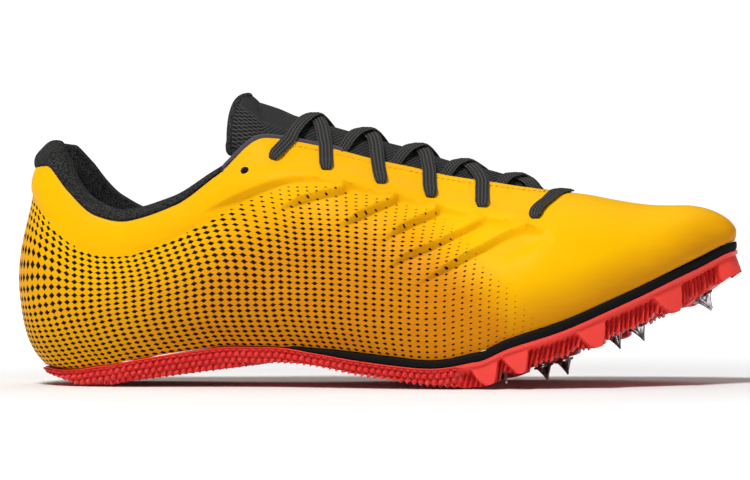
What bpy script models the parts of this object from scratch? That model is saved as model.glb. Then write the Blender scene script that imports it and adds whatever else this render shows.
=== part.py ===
"""Track spike shoe for the right foot, as an assembly: hollow upper, padded collar, tongue, insole, midsole
wedge, moulded sole plate, seven screw-in spikes and the crossings of the lace.

Metres. +X runs to the toe, +Y to the inner side of the foot and +Z up. The origin is on the floor, under the
middle of the heel's flat spot. Every table below holds shares of the named sizes, heel first.
"""

import math

import bmesh
import bpy
import numpy as np

# Overall sizes
LENGTH = 0.285
BALL_WIDTH = 0.0945
HEEL_WIDTH = 0.064
HEEL_HEIGHT = 0.086
INSTEP_HEIGHT = 0.0958
TOE_HEIGHT = 0.0687
ARCH_LIFT = 0.0088
TOE_SPRING = 0.044

# Walls, layers and fits
PIECE_GAP = 0.0003
UPPER_WALL = 0.0018
RIDGE_HEIGHT = 0.0011
BAND_THICKNESS = 0.0038
PLATE_EDGE = 0.0125
PLATE_LIP = 0.0012
PLATE_FLARE = 0.0016
RIM_HEIGHT = 0.0016
RIM_STEP = 0.0007
LUG_DROP = 0.0042
LUG_DEPTH = 0.0065
MIDSOLE_LIP = 0.0009
INSOLE_THICKNESS = 0.003
TONGUE_THICKNESS = 0.0032
COLLAR_ROLL = 0.0045
COLLAR_PAD = 0.0056
EYELET_RADIUS = 0.0017
LACE_WIDTH = 0.0055
LACE_THICKNESS = 0.0013
SPIKE_LENGTH = 0.0053
SPIKE_RADIUS = 0.0029
FLANGE_RADIUS = 0.0039
FLANGE_THICKNESS = 0.001
STUD_RADIUS = 0.0024
STUD_LENGTH = 0.0026
WELL_RADIUS = 0.0052
WELL_TAPER = 1.25

# Middle of the heel's flat spot, as a share of LENGTH from the back of the heel
HEEL_REST = 0.122

# Ribs of the upper, heel centre to toe centre. A rib climbs from the feather line, where upper meets sole,
# over the widest line to the top line, which is the collar and throat edge and then the crest of the vamp.
# Columns ending in along are shares of LENGTH; out, in, centre and gap are shares of the local width; wide_up
# is a share of the rib's height; top_up a share of the local height; lean is in degrees from upright; ridge is
# the share of the way from widest line to top at which the moulded ridge runs, and relief its share of
# RIDGE_HEIGHT.
RIB_COLUMNS = ("feather_along", "feather_out", "feather_in", "wide_along", "wide_out", "wide_in", "wide_up",
               "top_along", "top_centre", "top_gap", "top_up", "lean", "ridge", "relief")
RIBS = (
    (0.049, 0.000, 0.000, 0.000, 0.000, 0.000, 0.43, 0.022, 0.000, 0.000, 0.980, 0, 0.85, 0.0),
    (0.057, 0.148, 0.140, 0.010, 0.200, 0.195, 0.43, 0.030, 0.000, 0.140, 0.990, 2, 0.85, 0.0),
    (0.082, 0.289, 0.273, 0.038, 0.367, 0.352, 0.43, 0.053, 0.000, 0.266, 0.995, 6, 0.85, 0.0),
    (0.125, 0.375, 0.360, 0.085, 0.460, 0.440, 0.43, 0.0865, 0.000, 0.352, 0.884, 10, 0.85, 0.0),
    (0.175, 0.414, 0.383, 0.145, 0.500, 0.470, 0.42, 0.129, 0.005, 0.406, 0.763, 12, 0.86, 0.0),
    (0.235, 0.414, 0.359, 0.210, 0.515, 0.470, 0.41, 0.179, 0.010, 0.445, 0.716, 14, 0.88, 0.0),
    (0.300, 0.411, 0.312, 0.280, 0.526, 0.457, 0.36, 0.240, 0.010, 0.437, 0.744, 18, 0.88, 0.4),
    (0.360, 0.408, 0.274, 0.345, 0.518, 0.424, 0.30, 0.298, 0.015, 0.378, 0.851, 28, 0.78, 0.9),
    (0.420, 0.413, 0.261, 0.405, 0.502, 0.391, 0.25, 0.3597, 0.020, 0.257, 1.001, 40, 0.69, 1.0),
    (0.480, 0.423, 0.278, 0.470, 0.488, 0.376, 0.225, 0.4388, 0.025, 0.200, 0.964, 46, 0.75, 1.0),
    (0.540, 0.440, 0.320, 0.535, 0.485, 0.387, 0.205, 0.528, 0.025, 0.152, 0.898, 50, 0.75, 1.0),
    (0.600, 0.466, 0.376, 0.600, 0.497, 0.423, 0.205, 0.6065, 0.030, 0.122, 0.861, 55, 0.715, 1.0),
    (0.660, 0.487, 0.434, 0.662, 0.513, 0.466, 0.21, 0.680, 0.035, 0.100, 0.888, 62, 0.635, 0.9),
    (0.715, 0.487, 0.468, 0.720, 0.508, 0.489, 0.21, 0.7315, 0.037, 0.065, 0.924, 74, 0.555, 0.6),
    (0.765, 0.460, 0.474, 0.770, 0.476, 0.490, 0.205, 0.7506, 0.038, 0.000, 0.940, 90, 0.50, 0.0),
    (0.820, 0.395, 0.457, 0.825, 0.407, 0.471, 0.20, 0.800, 0.045, 0.000, 0.981, 90, 0.50, 0.0),
    (0.868, 0.307, 0.416, 0.873, 0.317, 0.429, 0.20, 0.855, 0.060, 0.000, 0.997, 90, 0.50, 0.0),
    (0.908, 0.225, 0.372, 0.913, 0.235, 0.385, 0.20, 0.890, 0.075, 0.000, 1.000, 90, 0.50, 0.0),
    (0.941, 0.125, 0.305, 0.946, 0.135, 0.316, 0.21, 0.910, 0.080, 0.000, 1.000, 90, 0.50, 0.0),
    (0.967, 0.030, 0.235, 0.971, 0.038, 0.245, 0.22, 0.920, 0.082, 0.000, 1.000, 90, 0.50, 0.0),
    (0.984, -0.030, 0.168, 0.987, -0.026, 0.174, 0.24, 0.921, 0.082, 0.000, 1.000, 90, 0.50, 0.0),
    (0.990, -0.100, 0.100, 0.9925, -0.100, 0.100, 0.24, 0.921, 0.082, 0.000, 1.000, 90, 0.50, 0.0),
)
THROAT_ROW = 8
VAMP_ROW = 14
TOE_ROW = len(RIBS) - 1

# Side of the sole. arch and spring lift its underside off the floor, as shares of ARCH_LIFT and TOE_SPRING;
# plate and band are the plate's and the midsole's heights there, as shares of PLATE_EDGE and BAND_THICKNESS;
# web lifts the plate's middle between the lugs, as a share of LUG_DROP.
SOLE_COLUMNS = ("along", "arch", "spring", "plate", "band", "web")
SOLE = (
    (0.045, 0.62, 0.000, 0.10, 0.00, 0.0),
    (0.070, 0.36, 0.000, 0.22, 0.00, 0.0),
    (0.092, 0.10, 0.000, 0.42, 0.00, 0.0),
    (0.105, 0.00, 0.000, 0.51, 0.00, 0.0),
    (0.144, 0.00, 0.000, 0.63, 0.00, 0.0),
    (0.178, 0.16, 0.000, 0.67, 0.00, 0.0),
    (0.240, 0.42, 0.000, 0.71, 0.00, 0.0),
    (0.300, 0.67, 0.000, 0.72, 0.00, 0.0),
    (0.350, 0.87, 0.000, 0.60, 0.00, 0.0),
    (0.387, 1.00, 0.000, 0.49, 0.00, 0.0),
    (0.405, 0.98, 0.000, 0.46, 0.21, 0.0),
    (0.440, 0.86, 0.000, 0.41, 0.50, 0.0),
    (0.500, 0.50, 0.000, 0.45, 0.82, 0.0),
    (0.560, 0.22, 0.000, 0.49, 0.85, 0.0),
    (0.600, 0.04, 0.000, 0.56, 0.80, 0.0),
    (0.622, 0.00, 0.000, 0.62, 0.80, 0.0),
    (0.642, 0.00, 0.000, 0.70, 0.84, 0.0),
    (0.662, 0.00, 0.000, 0.79, 0.90, 0.2),
    (0.706, 0.00, 0.095, 0.85, 0.95, 1.0),
    (0.777, 0.00, 0.230, 0.90, 1.00, 1.0),
    (0.843, 0.00, 0.405, 0.95, 1.00, 1.0),
    (0.911, 0.00, 0.615, 0.97, 1.00, 1.0),
    (0.955, 0.00, 0.790, 0.88, 1.00, 1.0),
    (0.985, 0.00, 0.940, 0.72, 0.95, 0.8),
    (1.000, 0.00, 1.000, 0.64, 0.90, 0.6),
)
MIDSOLE_START = 0.405
MIDSOLE_ROW_STEP = 0.34

# Spikes: seat along the sole, across it (share of BALL_WIDTH, outer side negative), and how far the seat is
# drawn up from the lugs' underside (share of LUG_DROP)
SPIKE_COLUMNS = ("along", "across", "recess")
SPIKES = (
    (0.688, -0.320, 1.25),
    (0.729, 0.060, 0.25),
    (0.744, 0.360, 0.25),
    (0.818, 0.270, 0.90),
    (0.866, -0.150, 0.50),
    (0.943, 0.180, 0.15),
    (0.949, 0.020, 0.15),
)
SPIKE_SIDES = 8
SPIKE_TIP = 0.12
WELL_SIDES = 10

# Lugs round the edge of the forefoot: where they start along the sole, how many a side, and how far the four
# points of each are lifted off the ground, as shares of LUG_DROP. Every fourth is a large one.
LUG_START = 0.655
LUG_COUNT = 12
LUG_WAVE = (0.0, 0.0, 0.85, 0.85)
BIG_LUG_WAVE = (0.0, 0.0, 0.0, 0.85)
BIG_LUG_EVERY = 4
LUG_FACE = 0.8
LUG_ROOT = 1.2

# Places where the plate's outline has a point: on the round of the heel, as rows of the rib table, and further
# on, as shares of LENGTH
PLATE_HEEL_ROWS = (0.0, 0.5, 1.0, 1.5, 2.0)
PLATE_STATIONS = (0.092, 0.105, 0.124, 0.144, 0.178, 0.240, 0.300, 0.350, 0.387, 0.405, 0.440, 0.500, 0.560,
                  0.600, 0.622, 0.642)

# Eyelets of one side, top one first: along, and height as a share of INSTEP_HEIGHT. The first stays free.
EYELET_COLUMNS = ("along", "up")
EYELETS = (
    (0.338, 0.866),
    (0.376, 0.924),
    (0.449, 0.868),
    (0.520, 0.808),
    (0.589, 0.748),
    (0.661, 0.707),
    (0.737, 0.675),
)
EYELET_SIDES = 8

# A crossing runs forward from its eyelet before it turns over the edge, and ends short of the next eyelet, both
# as shares of LENGTH; CROSS_RUSH is how much faster it runs forward than across
CROSS_LEAD = 0.006
CROSS_SHORT = 0.014
CROSS_RUSH = 1.15
BAR_ROW = VAMP_ROW + 0.35

# Collar: row of the rib table, height of its roll over the edge (share of COLLAR_ROLL), thickness of its pad
# (share of COLLAR_PAD)
COLLAR_COLUMNS = ("row", "roll", "pad")
COLLAR = (
    (0.0, 2.15, 1.05),
    (1.0, 2.10, 1.10),
    (2.0, 1.90, 1.25),
    (3.0, 2.00, 1.30),
    (4.0, 1.45, 1.10),
    (5.0, 1.05, 0.95),
    (6.0, 0.90, 0.85),
    (7.0, 0.60, 0.55),
    (7.35, 0.30, 0.35),
)

# Section of the roll over the upper's edge: shares of the roll's height, the pad's thickness and UPPER_WALL
ROLL_COLUMNS = ("rise", "pad", "wall")
ROLL = (
    (0.00, 0.00, 0.00),
    (0.55, -0.07, 0.00),
    (0.92, 0.22, 0.00),
    (1.00, 0.55, 0.00),
    (0.85, 0.90, 0.45),
    (0.35, 1.00, 1.00),
)
LINING_LEVELS = (1.52, 1.76, 1.95)
LINING_PAD = (0.35, 0.90, 1.20)

# Free top of the tongue, which rounds into a half circle behind the top eyelets. Each row: share of its reach
# and rise, share of the half circle reached, and thickness as a share of TONGUE_THICKNESS
TONGUE_REACH = 0.0100
TONGUE_CORNER_REACH = 0.0047
TONGUE_RISE = 0.0084
TONGUE_TOP_RADIUS = 0.0146
TONGUE_TOP_TURN = 92
TONGUE_TOP_COLUMNS = ("share", "rounded", "thick")
TONGUE_TOP = (
    (0.10, 0.50, 1.0),
    (0.35, 0.75, 1.1),
    (0.70, 0.85, 1.3),
    (0.92, 0.97, 1.2),
    (1.00, 1.00, 0.6),
)

# How strongly the wall's curve is pulled at its foot, its widest line, its top edge and the crest of the vamp,
# and the curve that carries it over the throat
RIBS_PER_ROW = 3
FOOT_FLARE = 0.5
BEND_FOOT = 0.21
BEND_UNDER = 0.45
BEND_WIDEST = 0.42
BEND_TOP = 0.38
BEND_CREST = 0.50
ARCH_PULL = 0.56

# Rows of the rib table between which the sole's middle line runs
SPINE_START = 3.0
SPINE_END = 17.5
RIM_SHARE = 0.4
RIM_SLOPE = 1.15
INSOLE_BEVEL = 0.75


def material(name, color, roughness, metallic=0.0):
    made = bpy.data.materials.new(name)
    made.use_nodes = True
    made.diffuse_color = (*color, 1.0)
    shader = made.node_tree.nodes["Principled BSDF"]
    shader.inputs["Base Color"].default_value = (*color, 1.0)
    shader.inputs["Roughness"].default_value = roughness
    shader.inputs["Metallic"].default_value = metallic
    return made


def named_columns(names, rows):
    """The table's columns by name."""
    values = np.array(rows, float)
    return {name: values[:, i] for i, name in enumerate(names)}


def named_rows(names, rows):
    """The table's rows, each with its values by name."""
    return [dict(zip(names, row)) for row in rows]


def hermite(low, high, slope_low, slope_high, share):
    """Cubic between two values with given slopes."""
    rise = high - low
    return (low + slope_low * share + (3 * rise - 2 * slope_low - slope_high) * share**2
            + (slope_low + slope_high - 2 * rise) * share**3)


def monotone(places, values, at):
    """Smooth curve through a column that never overshoots its rows."""
    step = np.diff(places)
    grade = np.diff(values) / step
    product = grade[:-1] * grade[1:]
    total = grade[:-1] + grade[1:]
    inner = np.where(product > 0, 2 * product / np.where(product > 0, total, 1.0), 0.0)
    slopes = np.concatenate([grade[:1], inner, grade[-1:]])
    at = np.clip(at, places[0], places[-1])
    row = np.clip(np.searchsorted(places, at, side="right") - 1, 0, len(step) - 1)
    share = (at - places[row]) / step[row]
    return hermite(values[row], values[row + 1], slopes[row] * step[row], slopes[row + 1] * step[row], share)


def closed_curve(values, at):
    """Smooth closed curve through one value for each row of the ring."""
    count = len(values)
    system = 4 * np.eye(count) + np.roll(np.eye(count), 1, axis=0) + np.roll(np.eye(count), -1, axis=0)
    slopes = np.linalg.solve(system, 3 * (np.roll(values, -1) - np.roll(values, 1)))
    at = np.mod(at, count)
    row = np.floor(at).astype(int) % count
    after = (row + 1) % count
    return hermite(values[row], values[after], slopes[row], slopes[after], at - np.floor(at))


def eased(value, start, end):
    """0 before start, 1 after end, and smooth between."""
    share = np.clip((value - start) / (end - start), 0.0, 1.0)
    return share * share * (3 - 2 * share)


def local_width(along):
    return HEEL_WIDTH + (BALL_WIDTH - HEEL_WIDTH) * eased(along, 0.25, 0.60)


def local_height(along):
    back = HEEL_HEIGHT + (INSTEP_HEIGHT - HEEL_HEIGHT) * eased(along, 0.10, 0.30)
    return back + (TOE_HEIGHT - back) * eased(along, 0.55, 0.90)


RIB = named_columns(RIB_COLUMNS, RIBS)
SIDE = named_columns(SOLE_COLUMNS, SOLE)
RING_ROWS = 2 * TOE_ROW


def x_at(along):
    return (along - HEEL_REST) * LENGTH


def along_at(x):
    return x / LENGTH + HEEL_REST


def sole_share(name, along):
    return monotone(SIDE["along"], SIDE[name], along)


def ground_height(along):
    return ARCH_LIFT * sole_share("arch", along) + TOE_SPRING * sole_share("spring", along)


def plate_top(along):
    return ground_height(along) + PLATE_EDGE * sole_share("plate", along)


def feather_height(along):
    """Height of the upper's lower edge, a gap above the plate or the midsole."""
    return plate_top(along) + BAND_THICKNESS * sole_share("band", along) + PIECE_GAP


def web_height(along):
    return ground_height(along) + LUG_DROP * sole_share("web", along)


def ring_line(name, at):
    """Plan of the feather or widest line, at places on the ring that runs down the outer side and back up."""
    rows = np.arange(RING_ROWS)
    row = np.minimum(rows, RING_ROWS - rows)
    along = RIB[name + "_along"][row]
    across = np.where(rows <= TOE_ROW, -RIB[name + "_out"][row], RIB[name + "_in"][row]) * local_width(along)
    return closed_curve(along, at), closed_curve(across, at)


def ring_row(at):
    """Row of the rib table at a place on the ring."""
    return np.minimum(np.mod(at, RING_ROWS), RING_ROWS - np.mod(at, RING_ROWS))


def rib_value(name, at):
    return monotone(np.arange(TOE_ROW + 1.0), RIB[name], ring_row(at))


def feather_line(at):
    along, across = ring_line("feather", at)
    return np.stack([x_at(along), across, feather_height(along)], axis=-1)


def top_line(at):
    along = rib_value("top_along", at)
    side = np.where(np.mod(at, RING_ROWS) <= TOE_ROW, -1.0, 1.0)
    across = (rib_value("top_centre", at) + side * rib_value("top_gap", at)) * local_width(along)
    return np.stack([x_at(along), across, rib_value("top_up", at) * local_height(along)], axis=-1)


def wide_line(at):
    along, across = ring_line("wide", at)
    low = feather_line(at)[..., 2]
    height = low + rib_value("wide_up", at) * (top_line(at)[..., 2] - low)
    return np.stack([x_at(along), across, height], axis=-1)


def unit(vectors):
    return vectors / np.maximum(np.linalg.norm(vectors, axis=-1, keepdims=True), 1e-12)


def lean_direction(at):
    """Direction in which the wall runs as it reaches the top line."""
    reach = top_line(at) - wide_line(at)
    reach[..., 2] = 0.0
    lean = np.radians(rib_value("lean", at))[..., None]
    return unit(reach) * np.sin(lean) + np.array([0.0, 0.0, 1.0]) * np.cos(lean)


def bezier(first, second, third, fourth, share):
    rest = 1 - share
    return (first * rest**3 + second * 3 * rest**2 * share + third * 3 * rest * share**2 + fourth * share**3)


def wall(at, level):
    """Point of the upper's outer face: level 0 is the feather line, 1 the widest line and 2 the top line."""
    low, wide, top = feather_line(at), wide_line(at), top_line(at)
    up = np.array([0.0, 0.0, 1.0])
    rise = (wide[..., 2] - low[..., 2])[..., None]
    flare = (wide - low) * np.array([FOOT_FLARE, FOOT_FLARE, 0.0])
    below = bezier(low, low + flare + up * BEND_FOOT * rise, wide - up * BEND_UNDER * rise, wide,
                   np.clip(level, 0, 1)[..., None])
    climb = (top[..., 2] - wide[..., 2])[..., None]
    reach = np.linalg.norm(top - wide, axis=-1)[..., None]
    crown = BEND_TOP + (BEND_CREST - BEND_TOP) * eased(rib_value("lean", at), 60, 90)[..., None]
    above = bezier(wide, wide + up * BEND_WIDEST * climb, top - lean_direction(at) * crown * reach, top,
                   np.clip(level - 1, 0, 1)[..., None])
    return np.where((level <= 1)[..., None], below, above)


def wall_normal(at, level):
    """Outward normal of that face. Along the crest of the vamp both sides share the crest's own normal."""
    step = 1e-3
    along = wall(at + step, level) - wall(at - step, level)
    higher, lower = np.minimum(level + step, 2.0), np.maximum(level - step, 0.0)
    upward = wall(at, higher) - wall(at, lower)
    normal = unit(np.cross(along, upward))
    row = ring_row(at)
    crest = top_line(row + step) - top_line(row - step)
    crest = np.where(crest[..., :1] > 1e-9, crest, np.array([1.0, 0.0, 0.0]))
    ridge = unit(np.cross(crest, np.array([0.0, 1.0, 0.0])))
    on_crest = ((row >= VAMP_ROW - 1e-6) & (level > 2 - 1e-6))[..., None]
    return np.where(on_crest, ridge, normal)


def add_object(name, bm, made_of):
    bmesh.ops.recalc_face_normals(bm, faces=bm.faces)
    mesh = bpy.data.meshes.new(name)
    bm.to_mesh(mesh)
    bm.free()
    mesh.shade_smooth()
    mesh.set_sharp_from_angle(angle=math.radians(40))
    mesh.materials.append(made_of)
    placed = bpy.data.objects.new(name, mesh)
    bpy.context.scene.collection.objects.link(placed)
    return placed


def add_face(bm, corners):
    """A face on these corners, less any that repeat."""
    kept = list(dict.fromkeys(corners))
    if len(kept) > 2:
        bm.faces.new(kept)


def add_grid(bm, rows, around=False):
    """Faces between rows of vertices; around joins each row's ends."""
    count = len(rows[0])
    for low, high in zip(rows, rows[1:]):
        for i in range(count if around else count - 1):
            after = (i + 1) % count
            add_face(bm, [low[i], low[after], high[after], high[i]])


def add_loop_body(bm, sections):
    """A solid through closed sections of equal length, with its two ends filled."""
    rows = [[bm.verts.new(tuple(point)) for point in section] for section in sections]
    add_grid(bm, rows, around=True)
    for end in (rows[0], rows[-1]):
        half = len(end) // 2
        for i in range(half):
            add_face(bm, [end[i], end[i + 1], end[(len(end) - i - 2)], end[len(end) - i - 1]])


def fill_across(bm, ring):
    """Faces between the outer and inner sides of a closed ring that starts at the heel."""
    half = len(ring) // 2
    for i in range(half):
        far, back = (len(ring) - i - 1) % len(ring), (len(ring) - i) % len(ring)
        add_face(bm, [ring[i], ring[i + 1], ring[far], ring[back]])


def cutter(name, bm):
    """A helper that a Boolean reads and no picture shows."""
    bmesh.ops.recalc_face_normals(bm, faces=bm.faces)
    mesh = bpy.data.meshes.new(name)
    bm.to_mesh(mesh)
    bm.free()
    placed = bpy.data.objects.new(name, mesh)
    placed.hide_render = True
    placed.display_type = "WIRE"
    bpy.context.scene.collection.objects.link(placed)
    return placed


def combine(target, helper, operation):
    boolean = target.modifiers.new(helper.name, "BOOLEAN")
    boolean.operation = operation
    boolean.solver = "EXACT"
    boolean.object = helper


def frame_along(axis):
    """Two directions square to an axis."""
    side = unit(np.cross(axis, np.array([0.0, 1.0, 0.0]) if abs(axis[1]) < 0.9 else np.array([1.0, 0.0, 0.0])))
    return side, np.cross(axis, side)


def add_turned(bm, centre, axis, profile, sides):
    """A solid of revolution: profile holds (radius, distance along the axis) pairs, ends on the axis."""
    side, other = frame_along(axis)
    rows = []
    for radius, distance in profile:
        middle = centre + axis * distance
        if radius == 0:
            rows.append([bm.verts.new(tuple(middle))] * sides)
            continue
        turns = [2 * math.pi * i / sides for i in range(sides)]
        spokes = [side * math.cos(turn) + other * math.sin(turn) for turn in turns]
        rows.append([bm.verts.new(tuple(middle + radius * spoke)) for spoke in spokes])
    add_grid(bm, rows, around=True)


def upper_levels(at):
    """Levels of a rib's points, with two close together at the moulded ridge."""
    ridge = 1 + rib_value("ridge", at)[..., None]
    below = 1 + (ridge - 1) * np.array([0.0, 0.5])
    step = ridge - np.array([0.055, 0.0])
    above = ridge + (2 - ridge) * np.array([0.5, 1.0])
    lower = np.broadcast_to(np.array([0.0, 0.3, 0.65]), (len(at), 3))
    return np.concatenate([lower, below, step, above], axis=1)


def ridge_relief(at):
    """How far each level stands proud, as shares of RIDGE_HEIGHT: full on the ridge, fading above it."""
    profile = np.array([0.0, 0.0, 0.0, 0.0, 0.0, 0.0, 1.0, 0.4, 0.0])
    return rib_value("relief", at)[:, None] * profile


def make_upper(made_of):
    at = np.arange(RING_ROWS * RIBS_PER_ROW) / RIBS_PER_ROW
    levels = upper_levels(at)
    places = np.repeat(at[:, None], levels.shape[1], axis=1)
    base = wall(places, levels)
    normal = wall_normal(places, levels)
    outer = base + normal * (RIDGE_HEIGHT * ridge_relief(at))[..., None]
    normal[:, 0] = unit(normal[:, 0] * np.array([1.0, 1.0, 0.0]))
    inner = base - normal * UPPER_WALL
    bm = bmesh.new()
    outside = [[bm.verts.new(tuple(point)) for point in rib] for rib in outer]
    inside = [[bm.verts.new(tuple(point)) for point in rib] for rib in inner]
    add_grid(bm, outside + outside[:1])
    add_grid(bm, inside + inside[:1])
    row = ring_row(at)
    for i in range(len(at)):
        after = (i + 1) % len(at)
        add_face(bm, [outside[i][0], outside[after][0], inside[after][0], inside[i][0]])
        if min(row[i], row[after]) < VAMP_ROW - 1e-6:
            add_face(bm, [outside[i][-1], outside[after][-1], inside[after][-1], inside[i][-1]])
    bmesh.ops.remove_doubles(bm, verts=bm.verts, dist=1e-6)
    upper = add_object("upper", bm, made_of)
    holes = bmesh.new()
    reach = 3 * UPPER_WALL
    punch = ((0, -reach), (EYELET_RADIUS, -reach), (EYELET_RADIUS, reach), (0, reach))
    for eyelet in named_rows(EYELET_COLUMNS, EYELETS):
        for side in (-1, 1):
            place, level = place_on_wall(**eyelet, side=side)
            add_turned(holes, wall(place, level)[0], wall_normal(place, level)[0], punch, EYELET_SIDES)
    combine(upper, cutter("eyelet_holes", holes), "DIFFERENCE")
    return upper


def place_on_wall(along, up, side):
    """Place on the ring, and level, of the point that shows at this share of the length and of the instep."""
    rows = np.linspace(5.0, VAMP_ROW + 2.0, 271)
    levels = np.linspace(1.2, 2.0, 121)
    at, level = np.meshgrid(rows if side < 0 else RING_ROWS - rows, levels, indexing="ij")
    points = wall(at, level)
    miss = np.hypot(points[..., 0] - x_at(along), points[..., 2] - up * INSTEP_HEIGHT)
    best = np.unravel_index(np.argmin(miss), miss.shape)
    return at[best].reshape(1), level[best].reshape(1)


def top_place(along, side):
    """Place on the ring where the throat's edge passes this share of the length."""
    rows = np.linspace(THROAT_ROW, VAMP_ROW + 2.0, 801)
    row = rows[np.argmin(np.abs(rib_value("top_along", rows) - along))]
    return np.array([row if side < 0 else RING_ROWS - row])


def throat_arch(row, share):
    """Point that carries the upper's own curve over the throat: share 0 on its outer edge, 1 on its inner."""
    out, back = np.array([row]), np.array([RING_ROWS - row])
    first, last = top_line(out)[0], top_line(back)[0]
    pull = ARCH_PULL * np.linalg.norm(last - first)
    out_lean, back_lean = lean_direction(out)[0], lean_direction(back)[0]
    share = np.asarray(share, float)[..., None]
    return bezier(first, first + out_lean * pull, last + back_lean * pull, last, share)


def section_normals(points):
    """Normals of an open section in its own plane, turned up and outward."""
    along = np.gradient(points, axis=0)
    along[:, 0] = 0.0
    return unit(np.stack([np.zeros(len(points)), -along[:, 2], along[:, 1]], axis=-1))


def tongue_section(row):
    """Upper face of the tongue under one row of the throat, outer wing to inner wing, and its normals."""
    depth = UPPER_WALL + 3 * PIECE_GAP
    levels = np.array([1.80, 1.90, 1.97])
    sides = []
    for at in (np.full(3, float(row)), np.full(3, RING_ROWS - float(row))):
        sides.append(wall(at, levels) - wall_normal(at, levels) * depth)
    shares = np.array([0.12, 0.31, 0.5, 0.69, 0.88])
    arch = throat_arch(row, shares)
    clear_of_vamp = eased(VAMP_ROW - row, 0.75, 2.5)
    sunk = depth - (depth - 2 * PIECE_GAP) * np.sin(math.pi * shares) * clear_of_vamp
    arch = arch - section_normals(arch) * sunk[:, None]
    face = np.concatenate([sides[0], arch, sides[1][::-1]])
    return face, section_normals(face)


def make_tongue(made_of):
    bm = bmesh.new()
    sections = []
    for row in np.arange(VAMP_ROW - 1.0, THROAT_ROW - 0.01, -0.5):
        face, normal = tongue_section(row)
        sections.append(np.concatenate([face, (face - normal * TONGUE_THICKNESS)[::-1]]))
    face = tongue_section(THROAT_ROW)[0]
    middle = face[:, 1].mean()
    shares = np.linspace(-1, 1, len(face))
    turns = np.radians(TONGUE_TOP_TURN) * shares
    circle_y = middle + TONGUE_TOP_RADIUS * np.sin(turns)
    circle_z = face[:, 2].max() - TONGUE_TOP_RADIUS * (1 - np.cos(turns))
    for step in named_rows(TONGUE_TOP_COLUMNS, TONGUE_TOP):
        moved = face.copy()
        moved[:, 0] -= step["share"] * (TONGUE_REACH + TONGUE_CORNER_REACH * (1 - (1 - np.abs(shares)) ** 3))
        moved[:, 1] += (circle_y - face[:, 1]) * step["rounded"]
        moved[:, 2] += (circle_z - face[:, 2]) * step["rounded"] + TONGUE_RISE * step["share"]
        under = moved - section_normals(moved) * TONGUE_THICKNESS * step["thick"]
        sections.append(np.concatenate([moved, under[::-1]]))
    add_loop_body(bm, sections)
    return add_object("tongue", bm, made_of)


def collar_section(at, roll, pad):
    """Section of the collar at one place: up behind the upper's wall, over its edge and down the lining."""
    place = np.full(len(LINING_LEVELS), at)
    lining = wall(place, np.array(LINING_LEVELS))
    normal = wall_normal(place, np.array(LINING_LEVELS))
    behind = lining - normal * (UPPER_WALL + 2 * PIECE_GAP)
    front = lining - normal * (UPPER_WALL + pad * np.array(LINING_PAD))[:, None]
    edge = top_line(np.array([at]))[0]
    rise = lean_direction(np.array([at]))[0]
    flat = wall_normal(np.array([at]), np.array([LINING_LEVELS[-1]]))[0] * np.array([1.0, 1.0, 0.0])
    inward = -unit(flat)
    lifted = edge + rise * 2 * PIECE_GAP
    over = [lifted + inward * (UPPER_WALL + 2 * PIECE_GAP)]
    for point in named_rows(ROLL_COLUMNS, ROLL):
        height = max(roll * point["rise"], 2 * PIECE_GAP)
        over.append(edge + rise * height + inward * (pad * point["pad"] + UPPER_WALL * point["wall"]))
    return np.array([*behind, *over, *front[::-1]])


def make_collar(made_of):
    table = named_columns(COLLAR_COLUMNS, COLLAR)
    last_row = COLLAR[-1][0]
    rows = np.concatenate([np.arange(0, last_row, 0.5), [last_row]])
    sections = []
    for at in np.concatenate([rows[::-1], RING_ROWS - rows[1:]]):
        row = ring_row(at)
        roll = COLLAR_ROLL * monotone(table["row"], table["roll"], row)
        pad = COLLAR_PAD * monotone(table["row"], table["pad"], row)
        sections.append(collar_section(at, roll, pad))
    bm = bmesh.new()
    add_loop_body(bm, sections)
    return add_object("collar", bm, made_of)


def spine_points(at):
    """For places on the ring, the point of the sole's middle line that each is drawn in towards."""
    row = np.clip(ring_row(at), SPINE_START, SPINE_END)
    return (feather_line(row) + feather_line(RING_ROWS - row)) / 2


def inset_plan(at, distance):
    """Plan of the feather line drawn in by a distance, or out where it is negative."""
    line = feather_line(at)[..., :2]
    middle = spine_points(at)[..., :2]
    step = 1e-3
    run = feather_line(at + step)[..., :2] - feather_line(at - step)[..., :2]
    outward = unit(np.stack([run[..., 1], -run[..., 0]], axis=-1))
    reach = np.linalg.norm(middle - line, axis=-1, keepdims=True)
    inward = unit(middle - line)
    distance = np.broadcast_to(np.asarray(distance, float)[..., None], reach.shape)
    return np.where(distance > 0, line + inward * np.minimum(distance, 0.7 * reach), line - outward * distance)


def with_height(plan, height):
    return np.concatenate([plan, np.asarray(height)[..., None]], axis=-1)


def feather_place(along):
    """Row of the rib table where the feather line passes these shares of the length."""
    dense = np.linspace(0, TOE_ROW, 2001)
    return np.interp(along, ring_line("feather", dense)[0], dense)


def even_places(first, count):
    """Rows at even steps along the outer side of the sole from one row to the toe, and along the inner side."""
    dense = np.linspace(first, TOE_ROW, 801)
    places = []
    for at in (dense, RING_ROWS - dense):
        step = np.linalg.norm(np.diff(feather_line(at), axis=0), axis=1)
        run = np.concatenate([[0], np.cumsum(step)])
        places.append(np.interp(np.linspace(0, run[-1], count + 1), run, dense))
    return places


def plate_ring():
    """Places on the ring for the plate's outline, with four to each lug, and how far each is lifted."""
    plain = np.concatenate([PLATE_HEEL_ROWS, feather_place(PLATE_STATIONS)])
    outer, inner = even_places(feather_place(LUG_START), 4 * LUG_COUNT)
    lift = [0.0] * len(plain)
    for lug in range(LUG_COUNT):
        lift.extend(BIG_LUG_WAVE if lug % BIG_LUG_EVERY == 0 else LUG_WAVE)
    at = np.concatenate([plain, outer, RING_ROWS - inner[-2::-1], RING_ROWS - plain[:0:-1]])
    lift = np.array(lift + [0.0])
    return at, np.concatenate([lift, lift[-2:0:-1]])


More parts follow.
